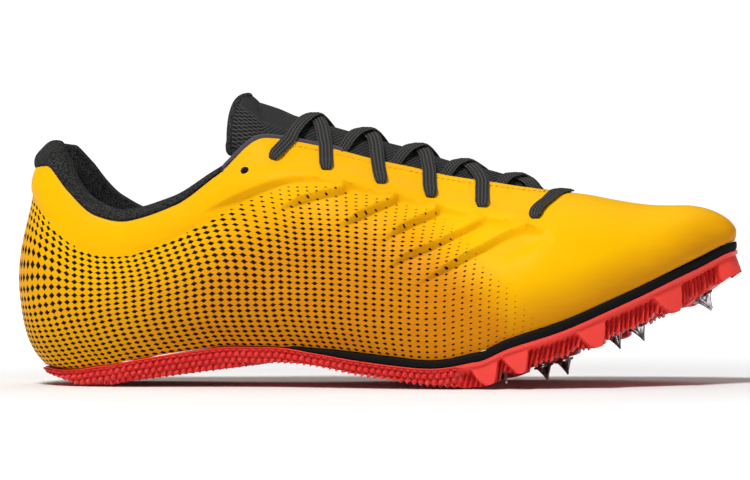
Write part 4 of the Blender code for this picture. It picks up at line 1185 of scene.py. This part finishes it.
def tongue_faces():
    """Upper face of the tongue, one line of points for each station from the vamp to the free top."""
    lines, thick = [], []
    across = np.linspace(0, 1, TONGUE_ACROSS)
    middle_share = eased(across, 0.2, 0.5) * eased(1 - across, 0.2, 0.5)
    for row in np.linspace(VAMP_ROW - 1.0, THROAT_ROW, TONGUE_UNDER_ROWS):
        line = smooth_path(tongue_section(row)[0], TONGUE_ACROSS)
        line[:, 2] += through(TONGUE_PUFF, row) * middle_share
        lines.append(line)
        thick.append(1.0)
    base = lines[-1]
    table = named_columns(TONGUE_TOP_COLUMNS, TONGUE_TOP)
    middle = base[:, 1].mean()
    shares = np.linspace(-1, 1, TONGUE_ACROSS)
    turns = np.radians(TONGUE_TOP_TURN) * shares
    oval_y = middle + TONGUE_HALF_WIDTH * np.sin(turns)
    oval_z = base[:, 2].max() - TONGUE_DROP * (1 - np.cos(turns))
    straight = float(top_line(np.array([THROAT_ROW]))[0, 0])
    stations = np.concatenate([[0.0], table["share"]])
    thick_column = np.concatenate([[1.0], table["thick"]])
    for share in np.linspace(0, 1, TONGUE_TOP_STEPS + 1)[1:]:
        rounded = share**TONGUE_ROUNDING
        moved = base.copy()
        reach = TONGUE_REACH + TONGUE_CORNER_REACH * (1 - (1 - np.abs(shares)) ** 3)
        moved[:, 0] += (straight - base[:, 0]) * rounded - share * reach
        moved[:, 1] += (oval_y - base[:, 1]) * rounded
        moved[:, 2] += (oval_z - base[:, 2]) * rounded + TONGUE_LIFT * share
        lines.append(moved)
        thick.append(float(monotone(stations, thick_column, share)))
    return np.array(lines), np.array(thick)


def make_tongue():
    top, thick = tongue_faces()
    normals = np.array([section_normals(line) for line in top])
    edge = np.sqrt(1 - np.linspace(-1, 1, TONGUE_ACROSS) ** 8)
    half = TONGUE_THICKNESS * thick[:, None] / 2
    centre = top - normals * half[..., None]
    spread = (half * np.maximum(edge, 0.02))[..., None]
    over = centre + normals * spread
    under = centre - normals * spread
    sections = np.concatenate([over, under[:, ::-1]], axis=1)
    along = np.broadcast_to(run_lengths(np.swapaxes(top, 0, 1))[TONGUE_ACROSS // 2][:, None], top.shape[:2])
    across = run_lengths(top)
    across = across - across[:, -1:] / 2
    share = np.linspace(0, 1, TONGUE_ACROSS)[None, :]
    station = np.arange(len(top))[:, None] / (len(top) - 1)
    sides = eased(share, PATCH_START, PATCH_EDGE) * eased(1 - share, PATCH_START, PATCH_EDGE)
    patch = eased(station, 0.60, 0.64) * (1 - eased(station, 0.93, 0.97)) * sides
    weave = np.stack([along, across, patch], axis=-1)
    tongue = add_mesh("tongue_pad", sections, loop_body(sections), [tongue_material()],
                      {"weave": np.concatenate([weave, weave[:, ::-1]], axis=1)})
    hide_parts("tongue")
    make_binding(centre)


def make_binding(centre):
    """Rolled edge round the free top of the tongue."""
    first = TONGUE_UNDER_ROWS - 8
    path = np.concatenate([centre[first:-1, 0], centre[-1], centre[-2:first - 1:-1, -1]])
    path = smooth_path(path[::3], 150)
    run = unit(np.gradient(path, axis=0))
    side = unit(np.cross(run, np.array([0.2, 0.0, 1.0])))
    add_rod("tongue_binding", path, side * 1.25, np.cross(run, side), BINDING_RADIUS, knit_material())


def add_rod(name, path, side, other, radius, material):
    """A round rod along a path, with metres along and round it as its weave."""
    turns = np.linspace(0, 2 * np.pi, 16, endpoint=False)
    ring = side[:, None] * np.cos(turns)[:, None] + other[:, None] * np.sin(turns)[:, None]
    sections = path[:, None] + ring * radius
    along = np.broadcast_to(run_lengths(path[None])[0][:, None], sections.shape[:2])
    around = np.broadcast_to(turns * radius, sections.shape[:2])
    weave = np.stack([along, around, np.zeros(around.shape)], axis=-1)
    add_mesh(name, sections, loop_body(sections), [material], {"weave": weave})


# Sole

SOLE_ROWS_A_SIDE = 860
SIDE_LEVELS = 13
BOTTOM_LEVELS = 30
TOOTH_LENGTH = 0.0027
TOOTH_HEIGHT = 0.0023
TOOTH_RISE = 0.0019
TOOTH_DEPTH = 0.0016
TREAD_LIFT = 0.0012
HEEL_LIP = 0.0024
RECESS = 0.0034
BARB_RISE = 0.0022
FORE_START = 0.632
FORE_FULL = 0.652
SAIL_COLUMNS = ("start", "end", "lowest")
SAILS = (
    (470, 498, 0.0),
    (501, 529, 0.0),
    (577, 608, 0.05),
    (656, 686, 0.05),
)
SAW_PITCH = 0.0021
SAW_GROUP = 0.0057
SAW_SLANT = 0.8
SAW_HIGH = 0.80
SAW_LOW = 0.15
BUMPER_START = 722
RIM_ROUND = 0.0004
RIM_DROP = 0.0003
STEP_ROUND = 0.0002
WELL_EDGE = 0.0022
TREAD_EDGE = 0.003
STUD_SHARE = 0.45


def triangle_wave(value):
    """1 at whole numbers, 0 halfway between them."""
    return 1 - 2 * np.abs(value - np.round(value))


def pyramids(first, second):
    """Staggered rows of four-sided points: 1 at each tip, 0 in the valleys."""
    shifted = first + 0.5 * (np.round(second) % 2)
    return np.clip(np.minimum(triangle_wave(shifted), triangle_wave(second)), 0, 1)


def lug_lift(x, run):
    """How far the plate's lower edge is lifted between its lugs, as a share of LUG_DROP."""
    saw = run / SAW_PITCH
    lift = SAW_LOW + (SAW_HIGH - SAW_LOW) * (1 - triangle_wave(saw))
    lift = lift + 0.25 * (1 - triangle_wave(run / SAW_GROUP))
    for sail in named_rows(SAIL_COLUMNS, SAILS):
        share = (x - sail["start"]) / (sail["end"] - sail["start"])
        belly = sail["lowest"] + 0.9 * np.clip(1 - share / 0.75, 0, 1) ** 1.8
        inside = (share > 0) & (share < 1)
        lift = np.where(inside, belly, lift)
    return np.clip(np.where(x > BUMPER_START, 0.2, lift), 0, 1)


def sail_shape(x, share):
    """1 on the large fins of the plate's side: steep in front, and swept forward behind on their way down."""
    shape = np.where(x > BUMPER_START, 1.0, 0.0)
    for sail in named_rows(SAIL_COLUMNS, SAILS):
        part = (x - sail["start"]) / (sail["end"] - sail["start"])
        back = eased(part - 0.55 * share**2, -0.05, 0.08)
        front = eased(1 - 0.12 * share**3 - part, -0.03, 0.05)
        shape = np.maximum(shape, back * front)
    return shape


def sole_places():
    """Rows of the rib table at even steps along the sole, used for both sides."""
    dense = np.linspace(0, TOE_ROW, 2001)
    steps = [np.linalg.norm(np.diff(feather_line(at), axis=0), axis=1) for at in (dense, RING_ROWS - dense)]
    run = np.concatenate([[0], np.cumsum(sum(steps) / 2)])
    rows = np.interp(np.linspace(0, run[-1], SOLE_ROWS_A_SIDE), run, dense)
    at = whole_ring(rows)
    half = np.interp(rows, dense, run)
    return at, np.concatenate([half, half[-2:0:-1]])


def make_plate():
    """The one-piece sole plate: rim, toothed or lugged side, and tread."""
    at, run = sole_places()
    line = feather_line(at)[:, :2]
    middle = spine_points(at)[:, :2]
    outward = feather_outward(at)
    along = along_at(line[:, 0])
    fore = eased(along, FORE_START, FORE_FULL)
    rim = np.minimum(RIM_HEIGHT, RIM_SHARE * PLATE_EDGE * sole_share("plate", along)) * (0.3 + 0.7 * fore)
    flare = PLATE_LIP + PLATE_FLARE * eased(along, 0.6, 0.95)
    x = as_seen(np.column_stack([line + outward * flare[:, None], ground_height(along)]))[0]
    lift = LUG_DROP * lug_lift(x, run) * sole_share("web", along)
    spiky = TOOTH_DEPTH * (1 - triangle_wave(run / TOOTH_LENGTH)) * eased(along, 0.03, 0.06)
    notch = np.minimum(spiky, 0.25 * (plate_top(along) - ground_height(along)))
    bottom = ground_height(along) + lift * fore + notch * (1 - fore)
    heel_lip = HEEL_LIP * (1 - eased(along, 0.052, 0.10))
    broad = triangle_wave(run / SAW_GROUP)
    rings = []
    # How deep each point lies in the valleys and recesses of the side and tread, painted as shade by the
    # material
    depth = []
    for share in (1.0, 0.6, 0.2):
        plan = line + (middle - line) * share
        rings.append(with_height(plan, plate_top(along_at(plan[:, 0]))))
        depth.append(np.zeros(len(at)))
    for out, down in ((PLATE_LIP - RIM_ROUND, 0.0), (PLATE_LIP, RIM_DROP), (PLATE_LIP, rim - STEP_ROUND),
                      (PLATE_LIP - RIM_STEP, rim + STEP_ROUND)):
        plan = line + outward * (out + heel_lip)[:, None]
        rings.append(with_height(plan, plate_top(along_at(plan[:, 0])) - down))
        depth.append(np.zeros(len(at)))
    low_top = rings[-1][:, 2]
    for share in np.linspace(0, 1, SIDE_LEVELS + 1)[1:]:
        drop = (low_top - bottom) * share
        tooth = pyramids(run / TOOTH_LENGTH, drop / TOOTH_HEIGHT)
        sail = sail_shape(x, share)
        barb = triangle_wave(run / SAW_PITCH + SAW_SLANT * share) * (0.45 + 0.55 * broad) * (1 - sail)
        out = PLATE_LIP - RIM_STEP + (flare - PLATE_LIP + RIM_STEP) * share + TOOTH_RISE * tooth * (1 - fore)
        web = fore * (1 - sail) * eased(share, 0.05, 0.30)
        out = out + heel_lip - RECESS * web + BARB_RISE * barb * fore * eased(share, 0.1, 0.5)
        plan = line + outward * out[:, None]
        rings.append(with_height(plan, low_top - drop))
        depth.append((1 - tooth) * (1 - fore) + (1 - barb) * web)
    edge = rings[-1][:, :2]
    for share in graded((0.0, 0.2, 6), (0.2, 1.0, BOTTOM_LEVELS - 6))[1:]:
        plan = edge + (middle - edge) * share
        height, deep = tread(plan, np.linalg.norm(plan - edge, axis=-1), lift, fore)
        rings.append(with_height(plan, height))
        depth.append(deep)
    sections = np.array(rings)
    faces = grid_faces(len(rings), len(at), wrap_columns=True)
    hue_and_shade = np.zeros(sections.shape)
    hue_and_shade[..., 0] = np.clip(np.array(depth), 0, 1)
    plate = add_mesh("sole_tread", sections, faces, [plate_material()], {"hue_and_shade": hue_and_shade},
                     sharp=35)
    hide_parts("outsole")


def tread(plan, inset, lift, fore):
    """Height of the plate's underside, and how deep in the tread it lies, which the material paints as shade.
    """
    along = along_at(plan[:, 0])
    ground = ground_height(along)
    tooth = pyramids(plan[:, 0] / TOOTH_LENGTH, plan[:, 1] / TOOTH_LENGTH)
    rear = (TOOTH_DEPTH * (1 - tooth) + TREAD_LIFT) * eased(inset, 0.0, TREAD_EDGE)
    web = LUG_DROP * sole_share("web", along)
    ridge = eased(inset, LUG_DEPTH * 0.75, LUG_DEPTH * 1.15)
    studs = STUD_SHARE * pyramids(plan[:, 0] / SAW_PITCH, plan[:, 1] / SAW_PITCH)
    front = lift + (web * (1 - studs) - lift) * ridge
    for spike in named_rows(SPIKE_COLUMNS, SPIKES):
        seat, axis = spike_seat(**spike)
        away = np.hypot((plan[:, 0] - seat[0]) * -axis[2], plan[:, 1] - seat[1])
        near = 1 - eased(away, WELL_RADIUS, WELL_RADIUS + WELL_EDGE)
        slope = axis[0] / -axis[2]
        seat_height = seat[2] + (plan[:, 0] - seat[0]) * slope
        front = front + (np.maximum(seat_height - ground, 0) - front) * near
    height = ground + rear * (1 - fore) + front * fore
    deep = (1 - tooth) * (1 - fore) + fore * np.clip(front / LUG_DROP, 0, 1)
    return np.maximum(height, 0.0), deep


# Sections of the midsole's edge, as shares of its height and of MIDSOLE_LIP, and of the insole's edge, as
# shares of its inset and of INSOLE_THICKNESS
BAND_EDGE = ((0.0, 0.4), (0.12, 0.85), (0.35, 1.0), (0.65, 1.0), (0.88, 0.85), (1.0, 0.4))
INSOLE_EDGE = ((1.0, 0.0), (1.0, 0.6), (1.15, 0.85), (1.6, 1.0))


def make_midsole():
    """Thin black wedge between plate and upper, from the arch to the toe."""
    rows = graded((float(feather_place(MIDSOLE_START)), TOE_ROW, 260))
    ring = np.concatenate([rows, RING_ROWS - rows[:-1][::-1]])
    sections = []
    for share, lip in BAND_EDGE:
        plan = inset_plan(ring, -MIDSOLE_LIP * lip * np.ones(len(ring)))
        plan[[0, -1], 0] = x_at(MIDSOLE_START)
        along = along_at(plan[..., 0])
        high = feather_height(along) - PIECE_GAP
        low = plate_top(along) + 0.4 * PIECE_GAP
        sections.append(with_height(plan, high + (low - high) * share))
    sections = np.array(sections)
    faces = loop_body(sections)
    band = add_mesh("midsole_band", sections, faces, [foam_material()])
    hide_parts("midsole")


def make_insole():
    rows = graded((0.0, TOE_ROW, 220))
    at = whole_ring(rows)
    whole = np.ones(len(at))
    inset = UPPER_WALL + 3 * PIECE_GAP
    middle = spine_points(at)[:, :2]
    rings = []
    for distance, lift in INSOLE_EDGE:
        plan = inset_plan(at, inset * distance * whole)
        height = feather_height(along_at(plan[..., 0])) + PIECE_GAP + lift * INSOLE_THICKNESS
        rings.append(with_height(plan, height))
    edge = rings[-1][:, :2]
    for share in (0.3, 0.6, 1.0):
        plan = edge + (middle - edge) * share
        rings.append(with_height(plan, feather_height(along_at(plan[..., 0])) + PIECE_GAP + INSOLE_THICKNESS))
    low_edge = rings[0][:, :2]
    for share in (0.5, 1.0):
        plan = low_edge + (middle - low_edge) * share
        rings.insert(0, with_height(plan, feather_height(along_at(plan[..., 0])) + PIECE_GAP))
    sections = np.array(rings)
    insole = add_mesh("insole_board", sections, grid_faces(len(rings), len(at), wrap_columns=True),
                      [insole_material()])
    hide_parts("insole")


# Spikes

SPIKE_AROUND = 64
SPIKE_FLUTES = 8
FLUTE_DEPTH = 0.16


def make_spikes():
    steel = steel_material()
    turns = np.linspace(0, 2 * np.pi, SPIKE_AROUND, endpoint=False)
    flute = 1 - FLUTE_DEPTH * (1 - np.abs(np.cos(turns * SPIKE_FLUTES / 2)))
    flange_end = PIECE_GAP + FLANGE_THICKNESS
    bevel = FLANGE_THICKNESS * 0.25
    profile = [(0.0, -STUD_LENGTH, 0), (STUD_RADIUS, -STUD_LENGTH, 0), (STUD_RADIUS, PIECE_GAP, 0),
               (FLANGE_RADIUS - bevel, PIECE_GAP, 0), (FLANGE_RADIUS, PIECE_GAP + bevel, 0),
               (FLANGE_RADIUS, flange_end - bevel, 0), (FLANGE_RADIUS - bevel, flange_end, 0)]
    for share in np.linspace(0, 1, 12):
        radius = SPIKE_RADIUS * ((1 - SPIKE_TIP) * (1 - share) ** 1.3 + SPIKE_TIP)
        profile.append((radius, flange_end + SPIKE_LENGTH * share, 1))
    profile.append((0.0, flange_end + SPIKE_LENGTH, 0))
    for number, spike in enumerate(named_rows(SPIKE_COLUMNS, SPIKES), 1):
        seat, axis = spike_seat(**spike)
        side = unit(np.cross(axis, np.array([0.0, 1.0, 0.0])))
        other = np.cross(axis, side)
        spokes = side * np.cos(turns)[:, None] + other * np.sin(turns)[:, None]
        rings = []
        for radius, distance, fluted in profile:
            reach = radius * (flute if fluted else np.ones(SPIKE_AROUND))
            rings.append(seat + axis * distance + spokes * reach[:, None])
        sections = np.array(rings)
        faces = grid_faces(len(rings), SPIKE_AROUND, wrap_columns=True)
        point = add_mesh(f"spike_point_{number}", sections, faces, [steel], sharp=25)
        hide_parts(f"spike_{number}")


# Laces

LACE_STEP = 0.0006
LACE_ACROSS = 25
LACE_RIBS = 4
LACE_RIB_HEIGHT = 0.00016
LACE_CLEAR = 0.0002
HOLE_PINCH = 0.50
HOLE_REACH = 0.0026
HOLE_BACK = 0.0008
LACE_SEAT = LACE_THICKNESS / 2 + LACE_CLEAR
LEAD_BACK = -0.008
LEAD_FORWARD = 0.017
CROSS_SHIFT = (0.0048, 0.0040, 0.0022, -0.0004, -0.0018)

# How a lace comes out of its eyelet: distance out of the wall and towards the throat's edge, share of its turn
# from standing to lying flat, and share of its width
LEAP_COLUMNS = ("out", "ahead", "turned", "width")
LEAP = (
    (-0.0004, -0.0015, 0.0, 0.52),
    (1.1 * LACE_SEAT, -0.0013, 0.5, 0.72),
    (1.4 * LACE_SEAT, 0.0009, 1.0, 0.98),
)


def proud(point, level):
    """How far the moulded relief lifts one place of the wall."""
    return side_relief(np.reshape(point, (1, 1, 3)), np.reshape(level, (1, 1)))[0, 0]


def lace_leg(eyelet, side, over, lead):
    """Lace between an eyelet and the throat's edge, over the wall or under it: points, normals and widths."""
    place, level = place_on_wall(**eyelet, side=side)
    edge = top_place(eyelet["along"] + lead, side)
    rise = LACE_SEAT
    hole, normal = wall(place, level)[0], wall_normal(place, level)[0]
    aim = wall(place + (edge - place) * 0.5, level + (2.0 - level) * 0.5)[0] - hole
    aim = unit(aim - normal * (aim @ normal))
    points, normals, widths = [], [], []

    def put(point, facing, width):
        points.append(point)
        normals.append(facing)
        widths.append(width)

    if over:
        put(hole - normal * (UPPER_WALL + HOLE_REACH) - aim * HOLE_BACK, -aim, HOLE_PINCH)
        lifted = hole + normal * proud(hole, level)
        for step in named_rows(LEAP_COLUMNS, LEAP):
            facing = unit(normal * step["turned"] - aim * (1 - step["turned"]))
            put(lifted + normal * step["out"] + aim * step["ahead"], facing, step["width"])
        shares = (0.42, 0.7, 0.93)
    else:
        rise = -(UPPER_WALL + rise)
        shares = (0.0, 0.35, 0.7, 0.95)
    for share in shares:
        at, height = place + (edge - place) * share, level + (2.0 - level) * share
        facing = wall_normal(at, height)[0]
        base = wall(at, height)[0]
        put(base + facing * (rise + proud(base, height)), facing, 1.0)
    return points, normals, widths, edge


def lace_middle(first_edge, last_edge, side, over_start, over_end, rise, shift):
    """Lace over the throat from one edge to the other, drawn forward by a shift at the crest."""
    start, end = float(ring_row(first_edge)[0]), float(ring_row(last_edge)[0])
    points, normals, widths = [], [], []
    for share in np.linspace(0.08, 0.92, 9):
        row = start + (end - start) * share
        across = share if side < 0 else 1 - share
        arch = throat_arch(row, across + np.array([-0.02, 0.0, 0.02]))
        facing = section_normals(arch)[1]
        sunk = UPPER_WALL + LACE_THICKNESS + 2 * LACE_CLEAR
        ends = (1 - eased(share, 0.0, 0.3)) * (not over_start) + eased(share, 0.7, 1.0) * (not over_end)
        hump = rise * math.exp(-((share - 0.5) / 0.13) ** 2)
        drawn = np.array([shift * math.sin(math.pi * share), 0.0, 0.0])
        points.append(arch[1] + drawn + facing * (LACE_SEAT + hump - sunk * ends))
        normals.append(facing)
        widths.append(1.0)
    return points, normals, widths


def ribbon(points, normals, widths):
    """Sections of a flat lace with lengthwise ribs, along a smooth path."""
    points = np.array(points)
    run = run_lengths(points[None])[0]
    count = int(run[-1] / LACE_STEP) + 1
    at = np.linspace(0, run[-1], count)
    path = smooth_path(points, count)
    facing = np.stack([np.interp(at, run, np.array(normals)[:, i]) for i in range(3)], axis=-1)
    width = np.interp(at, run, widths)
    ahead = unit(np.gradient(path, axis=0))
    side = unit(np.cross(ahead, facing))
    facing = np.cross(side, ahead)
    across = np.linspace(-1, 1, LACE_ACROSS)
    thick = LACE_THICKNESS / 2 * (1 - across**6) ** 0.5
    ribbed = thick + LACE_RIB_HEIGHT * (np.cos(math.pi * LACE_RIBS * (across + 1)) - 1) * (1 - across**8)
    ribbed = thick + (ribbed - thick) * eased(width, 0.7, 1.0)[:, None]
    offset = side[:, None] * (across * LACE_WIDTH / 2)[:, None] * width[:, None, None]
    swell = 1 + 0.5 * (1 - width[:, None, None])
    over = path[:, None] + offset + facing[:, None] * ribbed[..., None] * swell
    under = path[:, None] + offset - facing[:, None] * ribbed[..., None] * swell
    sections = np.concatenate([over, under[:, ::-1]], axis=1)
    lengthwise = np.broadcast_to(at[:, None], (count, LACE_ACROSS))
    crosswise = np.broadcast_to(across, (count, LACE_ACROSS))
    weave = np.stack([lengthwise, crosswise, np.zeros(crosswise.shape)], axis=-1)
    return sections, np.concatenate([weave, weave[:, ::-1]], axis=1)


def add_lace(name, ribbons, braid, replaced):
    """One or two ribbons as one piece."""
    points, faces, weaves, first = [], [], [], 0
    for sections, weave in ribbons:
        faces.append(loop_body(sections) + first)
        points.append(sections.reshape(-1, 3))
        weaves.append(weave.reshape(-1, 3))
        first += len(points[-1])
    lace = add_mesh(name, np.concatenate(points), np.concatenate(faces), [braid],
                    {"weave": np.concatenate(weaves)})
    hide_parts(replaced)


def make_laces():
    """Each crossing's two laces come out of their front eyelets, run back over the tongue and go in under the
    far edge. At the top eyelets they go over the edge and in, and at the front they start from below."""
    braid = braid_material()
    laced = named_rows(EYELET_COLUMNS, EYELETS)[1:]
    for number, (back, front) in enumerate(zip(laced, laced[1:]), 1):
        ribbons = []
        for side in (-1, 1):
            over_start = number < len(laced) - 1
            over_end = number == 1
            first = lace_leg(front, side, over_start, LEAD_BACK)
            last = lace_leg(back, -side, over_end, LEAD_FORWARD if over_end else -LEAD_BACK)
            rise = LACE_THICKNESS * (0.85 if side > 0 else -0.25)
            middle = lace_middle(first[3], last[3], side, over_start, over_end, rise, CROSS_SHIFT[number - 1])
            path = [first[i] + middle[i] + last[i][::-1] for i in range(3)]
            ribbons.append(ribbon(*path))
        add_lace(f"lace_run_{number}", ribbons, braid, f"lace_cross_{number}")
    make_front_bar(laced[-1], braid)


def make_front_bar(eyelet, braid):
    """The lace's first run, from eyelet to eyelet over the front of the throat."""
    halves = []
    for side, crest in ((-1, BAR_ROW), (1, RING_ROWS - BAR_ROW)):
        place, level = place_on_wall(**eyelet, side=side)
        points, normals, widths = (part[:4] for part in lace_leg(eyelet, side, True, 0.0)[:3])
        for share in (0.4, 0.65, 0.85, 0.95, 1.0):
            at, height = place + (crest - place) * share, level + (2.0 - level) * share
            facing = wall_normal(at, height)[0]
            points.append(wall(at, height)[0] + facing * LACE_SEAT)
            normals.append(facing)
            widths.append(1.0)
        halves.append((points, normals, widths))
    path = [halves[0][i] + halves[1][i][-2::-1] for i in range(3)]
    add_lace("lace_front_bar", [ribbon(*path)], braid, "lace_bar")


# Tape that shows above the throat's edge behind the first crossing

TAPE_ROWS = (7.1, 9.3)
TAPE_RADIUS = 0.0014


def make_tape():
    """A round tape on each side, let into the throat's edge."""
    rows = np.linspace(*TAPE_ROWS, 90)
    ends = np.minimum(1, 8 * np.sin(np.pi * np.linspace(0.01, 0.99, len(rows))))[:, None]
    for name, places, turned in (("outer", rows, 1), ("inner", RING_ROWS - rows, -1)):
        rise = lean_direction(places)
        inward = unit(np.cross(rise, np.gradient(top_line(places), axis=0))) * turned
        path = top_line(places) + rise * TAPE_RADIUS * 0.8 * ends + inward * UPPER_WALL * 0.6
        add_rod(f"throat_tape_{name}", path, rise * 1.1, inward, TAPE_RADIUS, lining_material())


# Stitches

STITCH_LENGTH = 0.0013
STITCH_PITCH = 0.0021
STITCH_RADIUS = 0.00022
STITCH_LEVEL = 1.965
STITCH_ROWS = (8.2, 13.4)


def make_stitches():
    """A row of short stitches just below the throat's edge, on both sides."""
    rows = np.linspace(*STITCH_ROWS, 600)
    turns = np.linspace(0, 2 * np.pi, 8, endpoint=False)
    points, faces, first = [], [], 0
    for places in (rows, RING_ROWS - rows):
        line = wall(places, np.full(len(places), STITCH_LEVEL))
        facing = wall_normal(places, np.full(len(places), STITCH_LEVEL))
        run = run_lengths(line[None])[0]
        for start in np.arange(0, run[-1] - STITCH_LENGTH, STITCH_PITCH):
            shares = np.linspace(0, 1, 7)
            at = start + shares * STITCH_LENGTH
            path = np.stack([np.interp(at, run, line[:, i]) for i in range(3)], axis=-1)
            up = np.stack([np.interp(at, run, facing[:, i]) for i in range(3)], axis=-1)
            path = path + up * STITCH_RADIUS * (0.6 + 0.6 * np.sin(np.pi * shares))[:, None]
            side = unit(np.cross(np.gradient(path, axis=0), up))
            radius = STITCH_RADIUS * np.sqrt(np.maximum(1 - (2 * shares - 1) ** 4, 0.02))
            ring = side[:, None] * np.cos(turns)[:, None] + up[:, None] * np.sin(turns)[:, None]
            sections = path[:, None] + ring * radius[:, None, None]
            faces.append(loop_body(sections) + first)
            points.append(sections.reshape(-1, 3))
            first += len(points[-1])
    add_mesh("throat_stitches", np.concatenate(points), np.concatenate(faces), [thread_material()])


# Studio

LIGHT_COLUMNS = ("name", "place", "size", "power")
LIGHTS = (
    ("key_light", (-0.28, -0.92, 1.8), 0.45, 37.0),
    ("top_light", (0.1, 1.0, 2.2), 2.0, 13.0),
)
SKY_WHITE = 1.05
SKY_DIM = 0.10
SKY_EDGE = 0.07
SKY_FADE = 0.04
FLOOR_SIZE = 40.0
FLOOR_GLOW = 0.90
FLOOR_GLOW_START = 0.16
FLOOR_GLOW_FULL = 0.75
FLOOR_DROP = 0.0004


def make_floor():
    """Pale floor with a painted glow: its emission is none near the shoe and rises away from it, whitening the
    floor.
    """
    bpy.ops.mesh.primitive_plane_add(size=FLOOR_SIZE, location=(VIEW_MIDDLE[0], 0, -FLOOR_DROP))
    floor = bpy.context.object
    floor.name = "floor"
    made, tree, shader = new_material("floor_white", 0.9)
    shader.inputs["Emission Color"].default_value = (1.0, 1.0, 1.0, 1.0)
    away = node(tree, "VectorMath", {"operation": "LENGTH"}, in_0=node(tree, "TexCoord").outputs["Object"])
    farther = calc(tree, "DIVIDE", minus(tree, away.outputs["Value"], FLOOR_GLOW_START),
                   FLOOR_GLOW_FULL - FLOOR_GLOW_START, clamp=True)
    # Painted glow, rising with distance from the shoe
    tree.links.new(times(tree, farther, FLOOR_GLOW), shader.inputs["Emission Strength"])
    set_color(tree, shader, mixed(tree, noise(tree, FLOOR_SCALE), FLOOR_WHITE, FLOOR_LIGHT))
    floor.data.materials.append(made)


def make_sky():
    """White at the horizon and dim above it."""
    world = bpy.data.worlds.new("studio")
    bpy.context.scene.world = world
    world.use_nodes = True
    tree = world.node_tree
    background = tree.nodes["Background"]
    background.inputs["Color"].default_value = (1.0, 1.0, 1.0, 1.0)
    height = node(tree, "SeparateXYZ", in_0=node(tree, "TexCoord").outputs["Generated"]).outputs[2]
    dim = calc(tree, "DIVIDE", minus(tree, height, SKY_EDGE), SKY_FADE, clamp=True)
    level = calc(tree, "MULTIPLY_ADD", dim, SKY_DIM - SKY_WHITE, SKY_WHITE)
    tree.links.new(level, background.inputs["Strength"])


def make_lights_and_camera():
    """Soft light and the photograph's camera."""
    middle = Vector(VIEW_MIDDLE)
    for light in named_rows(LIGHT_COLUMNS, LIGHTS):
        data = bpy.data.lights.new(light["name"], "AREA")
        data.energy = light["power"]
        data.size = light["size"]
        lamp = bpy.data.objects.new(light["name"], data)
        lamp.location = light["place"]
        lamp.rotation_euler = (middle - lamp.location).to_track_quat("-Z", "Y").to_euler()
        bpy.context.scene.collection.objects.link(lamp)
    right, up, back = (Vector(axis) for axis in view_axes())
    data = bpy.data.cameras.new("camera")
    data.sensor_width = SENSOR_WIDTH
    data.lens = SENSOR_WIDTH * VIEW_DISTANCE / (PICTURE_WIDTH * PIXEL)
    camera = bpy.data.objects.new("camera", data)
    camera.location = middle + back * VIEW_DISTANCE
    camera.rotation_euler = Matrix((right, up, back)).transposed().to_euler()
    bpy.context.scene.collection.objects.link(camera)
    bpy.context.scene.camera = camera
    bpy.context.scene.view_settings.view_transform = "Standard"


make_shell()
make_collar()
make_tongue()
make_plate()
make_midsole()
make_insole()
make_spikes()
make_laces()
make_tape()
make_stitches()
make_floor()
make_sky()
make_lights_and_camera()
